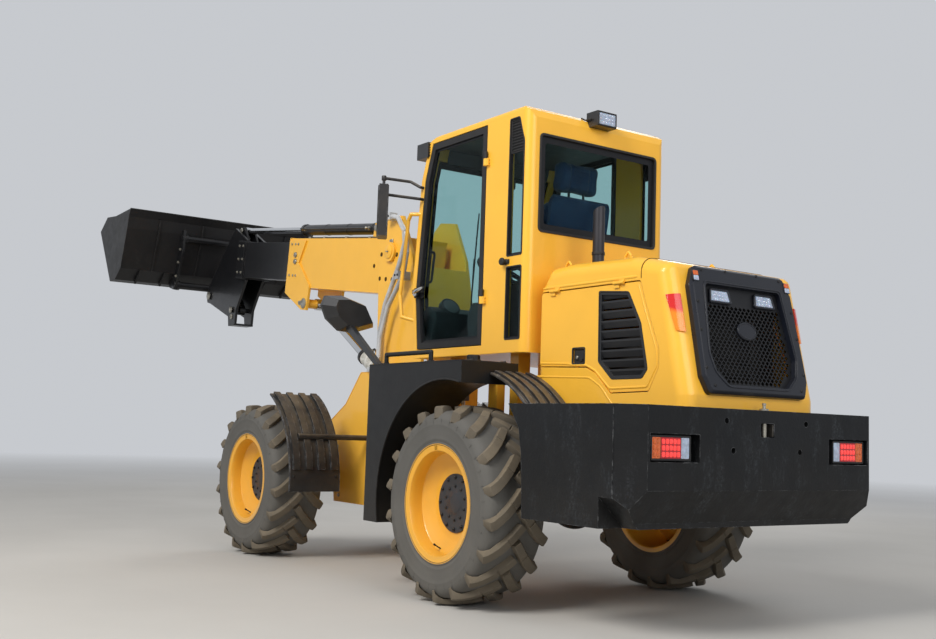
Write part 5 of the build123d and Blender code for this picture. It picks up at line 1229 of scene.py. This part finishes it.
def head_lamp_fronts():
    """Bezel, bowls and indicator windows on each head lamp's front."""
    form = Form()
    shield = [(198, 46), (173, 110), (52, 121), (-114, 75), (-198, -74), (-53, -122), (64, -116),
              (160, -42)]
    for s in SIDES.values():
        outline = [(s * (935 + a * 0.94), 1728 + b * 0.94) for a, b in shield]
        face = front_face(1310)
        form.look = 0
        form.band(rounded(outline, 16), face, 14, -3, 5, 2)
        form.look = 4
        form.slab(rounded(inset(outline, 10), 12), face, -1, 1.2, 0.4)
        for a, b, r in ((-88, -18, 52), (34, -2, 62)):
            spot = (1310, s * (935 + a), 1728 + b)
            form.look = 0
            form.turn([(r + 7, 0), (r + 7, 7), (r + 3, 9), (r, 7)], spot, (1, 0, 0), 36,
                      caps=(False, False))
            form.look = 1
            form.turn([(r, 7), (r * 0.86, 4.5), (r * 0.5, 2.6), (10, 2.0)], spot, (1, 0, 0), 36,
                      caps=(False, True))
            form.look = 2
            form.turn([(r - 0.5, 6.6), (r * 0.8, 9.2), (r * 0.4, 10.8), (4, 11.2)], spot, (1, 0, 0), 36,
                      caps=(False, True))
        form.look = 3
        form.slab(rounded([(s * (935 + a), 1728 + b)
                           for a, b in ((112, -20), (165, 30), (150, 88), (112, 90))], 10),
                  face, 0, 6, 2)
        form.look = 0
        for z in (1622, 1658):
            form.bolt((1240, s * 957, z), (0, s, 0), 6)
    piece("head_lamp_fronts", form, "rear_body", "lamp_plastic",
          ("rubber", "chrome", "clear", "amber", "mesh"))


# Seat: crowned cushions that swell in a short cloth run, then sewn channels
def soft_block(name, size, centre, tilt, bulge, cap):
    """A padded block: a shape a little too small swells under pressure, and no point moves past the cap."""
    form = Form()
    length, wide, high = size
    rings = []
    for k in range(7):
        t = k / 6
        squeeze = 1 - 0.10 * (2 * t - 1) ** 4
        outline = oblong(-length / 2 * squeeze, length / 2 * squeeze, -wide / 2 * squeeze,
                         wide / 2 * squeeze, min(length, wide) * 0.22, 5)
        rings.append([(a, b, (t - 0.5) * high) for a, b in outline])
    form.loft(rings)
    obj = bpy.data.objects.new(name, form.done(name, TO_METRES))
    bpy.context.scene.collection.objects.link(obj)
    remesh = obj.modifiers.new("remesh", "REMESH")
    remesh.mode, remesh.voxel_size = "VOXEL", 0.006
    settle(obj)
    rest = [vertex.co.copy() for vertex in obj.data.vertices]
    cloth = obj.modifiers.new("cloth", "CLOTH")
    cloth.settings.use_pressure = True
    cloth.settings.uniform_pressure_force = 4.0
    cloth.settings.quality = 4
    cloth.settings.effector_weights.gravity = 0.0
    cloth.point_cache.frame_start, cloth.point_cache.frame_end = 1, 20
    for number in range(1, 21):
        bpy.context.scene.frame_set(number)
    settle(obj)
    bpy.context.scene.frame_set(1)
    grown = obj.data
    for vertex, start in zip(grown.vertices, rest):
        moved = vertex.co - start
        if moved.length > cap:
            vertex.co = start + moved.normalized() * cap
    # The crown, held to the block's own room
    turn = Matrix.Rotation(tilt, 4, "Y")
    for vertex in grown.vertices:
        x, y, z = vertex.co
        u, v = x / (length / 2000), y / (wide / 2000)
        rise = bulge * max(0.0, 1 - u * u) * max(0.0, 1 - v * v)
        channel = 0.0
        for line in (-0.46, 0.46):
            channel += 0.007 * math.exp(-((v - line) / 0.035) ** 2)
        for line in (-0.5, -0.17, 0.17, 0.5):
            if abs(v) < 0.44:
                channel += 0.005 * math.exp(-((u - line) / 0.035) ** 2)
        if z > 0:
            vertex.co.z = z + rise - channel
        vertex.co = turn @ vertex.co + at(*centre)
    smooth = obj.modifiers.new("smooth", "SUBSURF")
    smooth.levels = smooth.render_levels = 1
    settle(obj)
    return obj


def settle(obj):
    """Bakes an object's modifiers into its mesh."""
    graph = bpy.context.evaluated_depsgraph_get()
    mesh = bpy.data.meshes.new_from_object(obj.evaluated_get(graph))
    obj.modifiers.clear()
    obj.data = mesh


def soft_seat():
    """The padded cushion, back and headrest on the seat's frame."""
    pads = (
        ("seat_cushion", (480, 480, 96), (362, 0, 1824), math.radians(-4), 0.010, 0.012, ("seat",)),
        ("seat_back", (560, 450, 100), (146, 0, 2170), math.radians(-97), 0.012, 0.012, ()),
        ("seat_headrest", (190, 330, 84), (62, 0, 2590), math.radians(-96), 0.006, 0.008, ()),
    )
    for name, size, centre, tilt, bulge, cap, stands_for in pads:
        obj = soft_block(name, size, centre, tilt, bulge, cap)
        obj.data.materials.clear()
        obj.data.materials.append(MAT["seat"])
        obj.data.shade_smooth()
        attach(obj, "rear_body")
        if stands_for:
            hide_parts(*stands_for)
    # Seat pan, back shell, headrest posts, bellows, arm rests and belt
    form = Form()
    pan = [(118, -246), (612, -246), (612, 246), (118, 246)]
    form.slab(rounded(pan, 60, 6), lambda a, b, c: (a, b, 1792 - c - (a - 362) * -0.02), 0, 34, 12)
    form.look = 4
    rings = []
    for y, scale in ((-238, 0.90), (-226, 1.0), (226, 1.0), (238, 0.90)):
        line = [(88, 1850), (100, 1846), (30, 2440), (8, 2456), (-6, 2440)]
        middle = (60, 2150)
        rings.append([(middle[0] + (a - middle[0]) * scale, y, middle[1] + (b - middle[1]) * scale)
                      for a, b in line])
    form.loft(rings)
    form.look = 0
    for y in (-60, 60):
        form.tube([(52, y, 2420), (58, y, 2545)], 8, 10)
    form.look = 1
    bellows = []
    for n in range(9):
        grow = 10 if n % 2 else 0
        outline = oblong(168 - grow, 512 + grow, -172 - grow, 172 + grow, 30, 4)
        bellows.append([(a, b, 1515 + n * 30) for a, b in outline])
    form.loft(bellows)
    form.slab(oblong(140, 560, -190, 190, 16), top_face(1490), 0, 26, 4)
    for s in SIDES.values():
        arm = [(150, 2010), (470, 2000), (480, 2040), (440, 2062), (150, 2058)]
        form.slab(rounded(arm, 20), side_face(258, s), 0, 48, 12)
        form.turn([(26, -4), (26, 16), (20, 20)], (158, s * 246, 2034), (0, s, 0), 20)
        form.slab(oblong(300, 380, 1790, 1838, 10), side_face(247, s), 0, 16, 4)
    # Belt across the cushion
    form.look = 2
    belt = []
    for y, z in ((-250, 1830), (-236, 1878), (-150, 1890), (0, 1893), (150, 1890), (236, 1878),
                 (250, 1830)):
        belt.append([(272, y, z), (318, y, z), (318, y, z + 3.5), (272, y, z + 3.5)])
    form.loft(belt)
    form.look = 3
    form.slab(oblong(262, 328, -30, 40, 8), top_face(1890), 2, 16, 4)
    piece("seat_frame", form, "rear_body", "black_plastic", ("dash", "rubber", "welt", "zinc", "seat"))


# Axles, hitch and steering
def axle_trim(name, body, x, sense):
    """Bolts round the axle's middle housing, drain plug, flange bolts, pipes and the drive yoke."""
    form = Form()
    for n in range(12):
        a = 2 * math.pi * n / 12
        for out in (1, -1):
            form.bolt((x + 148 * math.cos(a) * 0.86, out * 92, TYRE_R + 148 * math.sin(a) * 0.86),
                      (0, out, 0), 9)
    form.turn([(19, 0), (19, 6), (12, 9), (12, 16)], (x - sense * 128, 40, 470), (-sense * 0.8, 0, -0.6),
              12)
    for s in SIDES.values():
        for n in range(8):
            a = 2 * math.pi * (n + 0.5) / 8
            form.bolt((x + 128 * math.cos(a), s * 747, TYRE_R + 128 * math.sin(a)), (0, -s, 0), 9)
        for dx in (-60, 60):
            for y in (330, 420):
                form.tube([(x + dx, s * y, 470), (x + dx, s * y, 640)], 9, 8)
        form.tube([(x - 40, s * 200, 655), (x - 20, s * 420, 668), (x - 20, s * 700, 640),
                   (x, s * 745, 620)], 6, 8, 30)
    form.look = 1
    start = x + sense * 150
    form.turn([(60, 0), (66, 12), (48, 40), (40, 60), (62, 64), (62, 76)], (start, 0, TYRE_R),
              (sense, 0, 0), 28)
    for y in (-32, 32):
        form.slab(rounded([(start + sense * a, TYRE_R + b)
                           for a, b in ((74, -34), (74, 34), (128, 26), (128, -26))],
                          12), side_face(y, 1), -9, 9, 2)
    form.tube([(start + sense * 106, -44, TYRE_R), (start + sense * 106, 44, TYRE_R)], 15, 14)
    piece(name, form, body, "black_paint", ("dark_bolt", "black"))


def hitch_trim():
    """Pin caps with their bolts on the hitch, above and below the hinge plates."""
    form = Form()
    for z, way in ((931, 1), (489, -1)):
        form.turn([(54, 0), (54, 7), (50, 10), (22, 11), (20, 8)], (HITCH_X, 0, z), (0, 0, way), 32)
        form.look = 1
        for n in range(3):
            a = math.radians(30 + 120 * n)
            form.bolt((HITCH_X + 38 * math.cos(a), 38 * math.sin(a), z + way * 10), (0, 0, way), 6)
        form.look = 0
    piece("hitch_trim", form, "rear_body", "yellow_paint", ("yellow_trim", "zinc"))


def frame_trim():
    """Weld beads, bolts, pin caps and plugged holes on both frames."""
    form = Form()
    for s in SIDES.values():
        form.weld([(-1030, s * 441, 1048), (980, s * 441, 1048)], 3, 12)
        form.look = 1
        for x in (300, 420, 560, 700, 820):
            form.bolt((x, s * 440, 985), (0, s, 0), 9)
        form.look = 0
    piece("rear_frame_trim", form, "rear_body", "yellow_paint", ("yellow_trim", "zinc"))

    form = Form()
    a, h = WHEELBASE, HITCH_X
    for s in SIDES.values():
        form.weld([(h + 304, s * 341, 402), (a - 154, s * 341, 402)], 3, 12)
        form.weld([(h + 428, s * 341, 1389), (a - 505, s * 341, 1389), (a - 284, s * 341, 1149),
                   (a + 34, s * 341, 974)], 3, 12)
        form.look = 1
        for x, z in ((h + 350, 450), (h + 350, 560), (h + 350, 1150), (h + 350, 1260), (a - 230, 450),
                     (a - 200, 560), (a - 180, 820), (a - 60, 930), (a + 120, 930)):
            form.bolt((x, s * 340, z), (0, s, 0), 10)
        # Boom pivot: cap, keeper plate and grease nipple
        x, z = BOOM_PIVOT
        form.look = 0
        form.turn([(52, 0), (52, 6), (47, 9), (16, 10), (14, 7)], (x, s * 275, z), (0, s, 0), 32)
        form.look = 1
        form.slab(rounded([(x - 24, z + 50), (x + 24, z + 50), (x + 24, z + 98), (x - 24, z + 98)], 8),
                  side_face(250, s), 0, 9, 2)
        form.bolt((x, s * 259, z + 78), (0, s, 0), 8)
        form.turn([(7, 0), (7, 6), (4, 8), (4, 13), (5.5, 15), (3, 18)], (x, s * 284, z), (0, s, 0), 12)
        # Lift cylinder's pin
        x, z = LIFT_FOOT.x, LIFT_FOOT.z
        form.turn([(38, 0), (38, 6), (34, 8)], (x, s * 250, z), (0, s, 0), 24)
        form.bolt((x, s * 258, z), (0, s, 0), 9, False)
        # Plugged holes in the tower's plates, drawn as thin discs in painted shade
        form.look = 2
        for x, z in ((2048, 2298), (1822, 2272), (2062, 2112), (1970, 2100), (1880, 2089)):
            form.turn([(17, -0.5), (17, 1.0), (14.5, 1.6), (13.5, 0.4)], (x, s * 250, z), (0, s, 0), 20)
        form.look = 0
    piece("front_frame_trim", form, "front_body", "yellow_paint", ("yellow_trim", "zinc", "seam"))


def valve_block():
    """The loader's control valve on the tower's cross plate with its ports and pipes."""
    form = Form()
    for n in range(4):
        form.slab(oblong(-118 + n * 58, -64 + n * 58, 1190, 1330, 6), back_face(HITCH_X + 104), 0, 86, 5)
        form.look = 1
        form.turn([(17, 0), (17, 22), (13, 26)], (HITCH_X + 60, -91 + n * 58, 1330), (0, 0, 1), 6)
        form.turn([(15, 0), (15, 26), (10, 30), (10, 40)], (HITCH_X + 60, -91 + n * 58, 1190), (0, 0, -1),
                  12)
        form.look = 0
    form.look = 2
    for n in range(4):
        y = -91 + n * 58
        form.tube([(HITCH_X + 60, y, 1355), (HITCH_X + 60, y, 1420), (HITCH_X + 92, y, 1470 + n * 10),
                   (HITCH_X + 104, y, 1500 + n * 10)], 8, 10, 30)
    piece("valve_block", form, "front_body", "grey_iron", ("iron", "zinc", "rubber"))


def ram_trim(name, body, slot, start, end, radius, out):
    """Gland nut, ports and a hard pipe along a cylinder's barrel."""
    form = Form()
    start, end, out = Vector(start), Vector(end), Vector(out).normalized()
    way = (end - start).normalized()
    form.turn([(radius + 1, 0), (radius + 7, 2), (radius + 7, 34), (radius + 3, 38), (radius * 0.72, 38)],
              end - way * 36, way, 28, caps=(False, False))
    for n in range(4):
        turn = Matrix.Rotation(n * math.pi / 2, 3, way)
        side_way = turn @ out
        form.turn([(5, 0), (5, 3)], end - way * 20 + side_way * (radius + 6.4), side_way, 8)
    form.turn([(radius + 0.8, 0), (radius + 3.4, 2), (radius + 3.4, 12), (radius + 0.8, 14)],
              start + way * 34, way, 28, caps=(False, False))
    form.look = 1
    length = (end - start).length
    ports = [start + way * 70, start + way * (length - 90)]
    for port in ports:
        form.turn([(16, -3), (16, 14), (13, 17)], port + out * radius, out, 6)
        form.turn([(10, 16), (10, 30), (12, 31), (12, 40), (9, 43)], port + out * radius, out, 14)
    far = out * (radius + 40)
    form.look = 0
    form.tube([ports[1] + far, ports[1] + out * (radius + 62) - way * 20,
               ports[1] + out * (radius + 30) - way * 80,
               ports[0] + out * (radius + 22) + way * 90, ports[0] + out * (radius + 24) + way * 46], 7.5,
               10, 26)
    for share in (0.35, 0.65):
        spot = start + way * (length * share)
        form.turn([(radius + 0.6, 0), (radius + 2.6, 1.2), (radius + 2.6, 18), (radius + 0.6, 19)], spot,
                  way, 28, caps=(False, False))
    piece(name, form, body, slot, ("boom_black", "zinc"))


def rams():
    """The trim of the lift, tilt, steering and telescope cylinders."""
    for name, slot, foot, eye, low, high, radius in (
            ("lift", "yellow_paint", LIFT_FOOT, LIFT_EYE, 70, 1345, 62),
            ("tilt", "black_paint", TILT_FOOT, TILT_EYE, 60, 500, 50)):
        way = (eye - foot).normalized()
        ram_trim(f"{name}_ram_trim", f"{name}_barrel", slot, foot + way * low, foot + way * high, radius,
                 (-way.z, 0, way.x))
    for side, s in SIDES.items():
        foot = Vector((HITCH_X - 556, s * 300, 715))
        way = (Vector((HITCH_X + 244, s * 385, 715)) - foot).normalized()
        ram_trim(f"steering_{side}_trim", f"steering_{side}_barrel", "black_paint", foot + way * 45,
                 foot + way * 505, 36, (0, 0, 1))
    # The telescope cylinder's gland, ports and pipe along the boom's top
    (x0, z0), (x1, z1) = boom_place(670, TELESCOPE_W), boom_place(2011, TELESCOPE_W)
    ram_trim("telescope_trim", "boom_base", "black_paint", (x0, 0, z0), (x1, 0, z1), 48, (0, 1, 0))


# Boom
def boom_trim():
    """Beads, screws, pins and pipes on the boom's outer section."""
    form = Form()
    mouth_frame = oblong(-171, 171, -321, 125, 10)
    form.band(mouth_frame, boom_end(1950), 34, -8, 9, 2)
    for s in SIDES.values():
        side = boom_side(165, s)
        # Edge of the head plate's doubler, and weld beads along the box's corners
        form.weld([side(1480, -288, 2), side(1730, -100, 13), side(1622, 100, 12)], 3.5, 10)
        for w in (117, -313):
            form.weld([side(-110, w, 0), side(1475, w, 0)], 3.0, 12)
        # Wear pad screws near the mouth and a plug ahead of the tower
        form.look = 1
        for u, w in ((1762, 66), (1818, 66), (1762, -214), (1818, -214), (1890, 66), (1890, -214)):
            form.turn([(11, 0), (11, 6), (8.5, 8), (5, 8), (4.6, 5)], side(u, w, 12), (0, s, 0), 16)
        # The plug ahead of the tower is a thin disc in painted shade
        form.look = 2
        form.turn([(17, -0.5), (17, 1.2), (14.5, 1.8), (13.5, 0.6)], (2304, s * 165, 2244), (0, s, 0), 20)
        form.look = 1
        # Lift eye pin: cap and keeper plate on the head plates
        x, z = LIFT_EYE.x, LIFT_EYE.z
        form.turn([(46, 0), (46, 6), (41, 9), (15, 10), (13, 8)], (x, s * 177, z), (0, s, 0), 28)
        form.slab(rounded([(x + 30, z - 16), (x + 92, z - 4), (x + 92, z + 28), (x + 30, z + 28)], 8),
                  side_face(177, s), 0, 9, 2)
        form.bolt((x + 70, s * 186, z + 12), (0, s, 0), 8)
        # Pad retainer with two domes in the head's middle
        for u, w in ((1800, -30), (1794, -90)):
            form.turn([(24, 0), (24, 8), (20, 14), (8, 17)], side(u, w, 12), (0, s, 0), 24)
        x, z = boom_place(600, TELESCOPE_W)
        form.turn([(26, 0), (26, 5), (22, 7)], (x, s * 66, z), (0, s, 0), 20)
        form.look = 0
    form.look = 1
    spots = [(y, w) for y in (-141, -47, 47, 141) for w in (110, -306)]
    spots += [(s * 159, w) for w in (-250, -150, -50, 50) for s in SIDES.values()]
    for y, w in spots:
        form.bolt(boom_end(1959)(y, w, 0), BOOM_WAY, 6, False)
    # Pipes along the boom's top with their clips
    form.look = 3
    for y in (84, 108):
        pipe = boom_side(y, 1)
        form.tube([pipe(120, 128, 0), pipe(700, 129, 0), pipe(1700, 129, 0)], 8, 10)
    form.look = 1
    for u in (200, 600, 1000, 1400, 1680):
        form.slab(oblong(u - 16, u + 16, 70, 122, 5),
                  lambda a, b, c: boom_side(b, 1)(a, 119 + c, 0), 0, 21, 3)
    piece("boom_trim", form, "boom_base", "yellow_paint", ("yellow_trim", "zinc", "seam", "rubber"))


def boom_tip_trim():
    """Beads, bolts and pins on the boom's inner section and head."""
    form = Form()
    for s in SIDES.values():
        side = boom_side(148, s)
        for w in (90, -260):
            form.weld([side(3040, w, 0), side(3178, w, 0)], 3.2, 10)
        form.look = 1
        for u in (3062, 3150):
            for w in (50, -80, -210):
                form.bolt(side(u, w, 0), (0, s, 0), 9)
        # Pin caps at the bucket's pivot and the tilt cylinder's foot
        for pin, r in ((BUCKET_PIVOT, 42), (TILT_FOOT, 33)):
            form.turn([(r, 0), (r, 6), (r - 5, 9), (12, 10), (10, 8)], (pin.x, s * 112, pin.z), (0, s, 0),
                      28)
        x, z = TILT_FOOT.x, TILT_FOOT.z
        form.slab(rounded([(x - 20, z - 92), (x + 20, z - 92), (x + 20, z - 44), (x - 20, z - 44)], 8),
                  side_face(100, s), 0, 9, 2)
        form.bolt((x, s * 109, z - 68), (0, s, 0), 7)
        x, z = boom_place(3333, TELESCOPE_W)
        form.turn([(26, 0), (26, 5), (22, 7)], (x, s * 66, z), (0, s, 0), 20)
        form.look = 0
        # Edge bead of the head plates
        px, bx = BUCKET_PIVOT.x, TILT_FOOT.x
        form.weld([(bx - 76, s * 101, 1952), (bx + 74, s * 101, 1952)], 3, 10)
        form.weld([(bx + 12, s * 101, 2930), (bx + 228, s * 101, 2756), (px + 62, s * 101, 2362)], 3, 12)
    piece("boom_tip_trim", form, "boom_tip", "black_paint", ("boom_black", "zinc"))


# Bucket, as (x, z) places ahead of its pivot
BUCKET_CURVE = [(-110, 3084), (-60, 3011), (-33, 2900), (109, 2500), (272, 2399), (430, 2393), (860, 2964)]
BUCKET_MOUTH = (646, 3093)


def bucket_trim():
    """Cutting edge, wear plates, lip, ribs and strips on the bucket."""
    form = Form()
    back = [(BUCKET_PIVOT.x + x, z) for x, z in BUCKET_CURVE]
    mx, mz = BUCKET_PIVOT.x + BUCKET_MOUTH[0], BUCKET_MOUTH[1]
    # Cutting edge with a row of bolt heads
    (fx, fz), (ex, ez) = back[-2], back[-1]
    length = math.hypot(ex - fx, ez - fz)
    dx, dz = (ex - fx) / length, (ez - fz) / length
    form.look = 1
    cutting = [(-186, 11.0), (-186, 25.0), (-28, 25.0), (-1, 13.0), (-1, 11.0)]
    rings = []
    for y in (-1020, 1020):
        rings.append([(ex + dx * a - dz * b, y, ez + dz * a + dx * b) for a, b in cutting])
    form.loft(rings)
    for n in range(9):
        y = -920 + n * 230
        foot = (ex - dx * 120 - dz * 25, y, ez - dz * 120 + dx * 25)
        form.turn([(20, 0), (18, 4), (10, 6), (5, 5)], foot, (-dz, 0, dx), 16)
    # Wear plates, beads and bolt heads inside the end plates
    for s in SIDES.values():
        plate = [(ex - 260, ez - 325), (ex - 8, ez - 12), (mx - 4, mz - 6), (mx - 130, mz - 24),
                 (ex - 320, ez - 210)]
        form.slab(rounded(plate, 14), side_face(-1010.5, -s), 0, 9, 2)
        form.look = 0
        form.weld([(x + 16, s * 1008, z + 8) for x, z in back[1:6]], 4, 12)
        form.look = 1
        for x, z in ((ex - 110, ez - 92), (ex - 190, ez - 196)):
            form.turn([(17, 0), (15, 4), (8, 6)], (x, s * 1001, z), (0, -s, 0), 14)
    form.look = 0
    # Rolled lip along the top, and ribs and gussets behind the back sheet
    lip_x, lip_z = back[0]
    form.tube([(lip_x + 10, -1020, lip_z - 2), (lip_x + 10, 1020, lip_z - 2)], 9, 12)
    for y in (-700, -240, 240, 700):
        rib = [(back[1][0] - 2, back[1][1]), (back[2][0] - 2, back[2][1]), (back[3][0] - 2, back[3][1] + 2),
               (back[3][0] - 24, back[3][1] + 26), (back[2][0] - 26, back[2][1] - 4),
               (back[1][0] - 18, back[1][1] - 4)]
        form.slab(rib, side_face(y, 1), -7, 7, 2)
    (ax, az), (bx, bz) = back[3], back[4]
    for y in (-820, -560, 560, 820):
        gusset = [(ax - 2, az), (bx - 4, bz - 2), (bx - 30, bz - 30), (ax - 30, az - 6)]
        form.slab(gusset, side_face(y, 1), -8, 8, 2)
    # Wear strips under the floor
    form.look = 1
    for y in (-760, -260, 260, 760):
        strip = [(fx + dx * 10, fz + dz * 10), (ex - dx * 200, ez - dz * 200),
                 (ex - dx * 206 + dz * 11, ez - dz * 206 - dx * 11),
                 (fx + dx * 20 + dz * 11, fz + dz * 20 - dx * 11)]
        form.slab(strip, side_face(y, 1), -28, 28, 2)
    piece("bucket_trim", form, "bucket_body", "black_paint", ("bucket", "wear"))


def coupler_trim():
    """Pin caps, bolts and a grab loop on the quick coupler."""
    form = Form()
    px, pz = BUCKET_PIVOT.x, BUCKET_PIVOT.z
    for s in SIDES.values():
        for dx, dz, r in ((115, 90, 46), (-70, 560, 38)):
            form.turn([(r, 0), (r, 6), (r - 6, 9), (10, 10)], (px + dx, s * 455, pz + dz), (0, s, 0), 28)
            form.turn([(r + 4, 0), (r + 4, 26), (r - 2, 30)], (px + dx, s * 400, pz + dz), (0, s, 0), 28)
        form.look = 1
        for dx, dz in ((60, 180), (20, 320), (-20, 450)):
            form.bolt((px + dx, s * 455, pz + dz), (0, s, 0), 11)
        form.turn([(34, 0), (34, 6), (29, 8), (10, 9)],
                  (px + TILT_ARM * math.cos(TILT_LEAN), s * 74, pz + TILT_ARM * math.sin(TILT_LEAN)),
                  (0, s, 0), 24)
        form.look = 0
    form.look = 1
    form.tube([(px - 70, -300, pz + 600), (px - 70, -300, pz + 624), (px - 70, -180, pz + 624),
               (px - 70, -180, pz + 600)], 8, 8, 16)
    piece("coupler_trim", form, "bucket_body", "black_paint", ("boom_black", "zinc"))


def hose_trim():
    """Crimped ends and clips of the two thick hoses beside the tower."""
    form = Form()
    h = HITCH_X
    for y, route in ((292, ((548, 2565), (440, 2540), (345, 2430), (325, 2340), (400, 2170), (575, 1900),
                            (640, 1700), (650, 1400))),
                     (334, ((255, 2400), (225, 2250), (265, 2080), (465, 1870), (560, 1640), (575, 1400)))):
        (x0, z0), (x1, z1) = route[-1], route[-2]
        foot = Vector((h + x0, y, z0))
        way = (Vector((h + x1, y, z1)) - foot).normalized()
        form.turn([(24, 24), (24, 44), (22, 48), (22, 92), (19.5, 96)], foot, way, 16, caps=(False, False))
        for k in range(4):
            form.turn([(22.4, 0), (23.4, 2), (22.4, 4)], foot + way * (52 + k * 10), way, 16,
                      caps=(False, False))
    form.look = 1
    for x, z, long in ((325, 2090, 34), (555, 2562, 26), (615, 1407, 60)):
        for dz in (-1, 1):
            form.bolt((h + x + dz * long * 0.5, 358 if z < 2500 else 316, z), (0, 1, 0), 6)
    piece("hose_trim", form, "front_body", "black_plastic", ("zinc", "dark_bolt"))


# Stage: a pale floor, soft lamps and the camera
def area_lamp(name, place, target, size, power, color=(1, 1, 1)):
    lamp = bpy.data.lights.new(name, "AREA")
    lamp.shape = "DISK"
    lamp.size = size
    lamp.energy = power
    lamp.color = color
    holder = bpy.data.objects.new(name, lamp)
    holder.location = place
    holder.rotation_euler = (Vector(target) - Vector(place)).to_track_quat("-Z", "Y").to_euler()
    holder.visible_transmission = False
    bpy.context.scene.collection.objects.link(holder)


SKY = (0.92, 0.95, 1.0, 1)
SKY_SEEN, SKY_LIGHT = 0.62, 0.40


def floor():
    """A ground plane that fades into the sky's colour far from the object."""
    t = Tree("floor_material")
    tone = t.mix(t.ramp(t.noise(0.6), 0.3, 0.7), (0.52, 0.505, 0.475, 1), (0.57, 0.555, 0.525, 1))
    reach = t.add("ShaderNodeVectorMath", {0: t.ray()}, operation="LENGTH").outputs["Value"]
    near, far = 7.0, 24.0
    t.set(Base_Color=t.mix(t.ramp(reach, near, far), tone, (0, 0, 0, 1)), Roughness=0.9,
          Specular_IOR_Level=t.ramp(reach, near, far, 0.2, 0.0), Emission_Color=SKY,
          Emission_Strength=t.ramp(reach, near, far, 0.0, SKY_SEEN))
    mesh = bpy.data.meshes.new("floor")
    half = 60.0
    mesh.from_pydata([(-half, -half, 0), (half, -half, 0), (half, half, 0), (-half, half, 0)], [],
                     [(0, 1, 2, 3)])
    mesh.materials.append(t.material)
    obj = bpy.data.objects.new("floor", mesh)
    bpy.context.scene.collection.objects.link(obj)


def world():
    scene = bpy.context.scene
    scene.world = bpy.data.worlds.new("sky")
    scene.world.use_nodes = True
    tree = scene.world.node_tree
    background = tree.nodes["Background"]
    background.inputs["Color"].default_value = SKY
    # What the eye meets, straight on or by gloss and glass, is paler than the light on the object
    path = tree.nodes.new("ShaderNodeLightPath")
    seen = path.outputs["Is Camera Ray"]
    for way in ("Is Glossy Ray", "Is Transmission Ray"):
        either = tree.nodes.new("ShaderNodeMath")
        either.operation = "MAXIMUM"
        tree.links.new(seen, either.inputs[0])
        tree.links.new(path.outputs[way], either.inputs[1])
        seen = either.outputs[0]
    strength = tree.nodes.new("ShaderNodeMapRange")
    strength.inputs["To Min"].default_value = SKY_LIGHT
    strength.inputs["To Max"].default_value = SKY_SEEN
    tree.links.new(seen, strength.inputs["Value"])
    tree.links.new(strength.outputs["Result"], background.inputs["Strength"])
    scene.view_settings.view_transform = "Standard"


# The camera solved from the photograph: its place, turn, pitch and roll, and its focal length in pixels
CAMERA_PLACE = (-5369.8, 4554.2, 980.9)
CAMERA_YAW, CAMERA_PITCH, CAMERA_ROLL = -0.6050, 0.0977, 0.0330
FOCAL_PX, PHOTO_W = 1125.9, 936


def camera():
    data = bpy.data.cameras.new("camera")
    data.sensor_width = 36
    data.lens = FOCAL_PX * data.sensor_width / PHOTO_W
    data.clip_end = 200
    ahead = Vector((math.cos(CAMERA_YAW) * math.cos(CAMERA_PITCH),
                    math.sin(CAMERA_YAW) * math.cos(CAMERA_PITCH), math.sin(CAMERA_PITCH)))
    right = Vector((math.sin(CAMERA_YAW), -math.cos(CAMERA_YAW), 0))
    up = right.cross(ahead)
    c, s = math.cos(CAMERA_ROLL), math.sin(CAMERA_ROLL)
    right, up = c * right + s * up, c * up - s * right
    turn = Matrix((right, up, -ahead)).transposed()
    obj = bpy.data.objects.new("camera", data)
    obj.matrix_world = Matrix.Translation(at(*CAMERA_PLACE)) @ turn.to_4x4()
    bpy.context.scene.collection.objects.link(obj)
    bpy.context.scene.camera = obj


camera()
floor()
world()
area_lamp("key", (-4.5, 9.0, 8.5), (0.0, 0.0, 1.2), 5.0, 1000, (1.0, 0.97, 0.93))
area_lamp("fill", (-11.0, 1.0, 5.0), (-1.0, 0.0, 1.0), 6.0, 270)
area_lamp("rim", (6.0, -8.0, 7.0), (0.0, 0.0, 1.5), 5.0, 300)

wheels()
counterweight_fittings()
grille_fittings()
fine_mesh()
radiator()
hood_seams()
window_rubbers()
cab_outside()
cab_inside()
soft_seat()
mirror_glasses()
head_lamp_fronts()
axle_trim("rear_axle_trim", "rear_body", 0.0, 1)
axle_trim("front_axle_trim", "front_body", WHEELBASE, -1)
hitch_trim()
frame_trim()
valve_block()
rams()
boom_trim()
boom_tip_trim()
bucket_trim()
coupler_trim()
hose_trim()
for side, s in SIDES.items():
    rear_lights(side, s)
    hood_trim(side, s)
    guard_trim(side, s)
    side_box_trim(side, s)
    door_fittings(side, s)
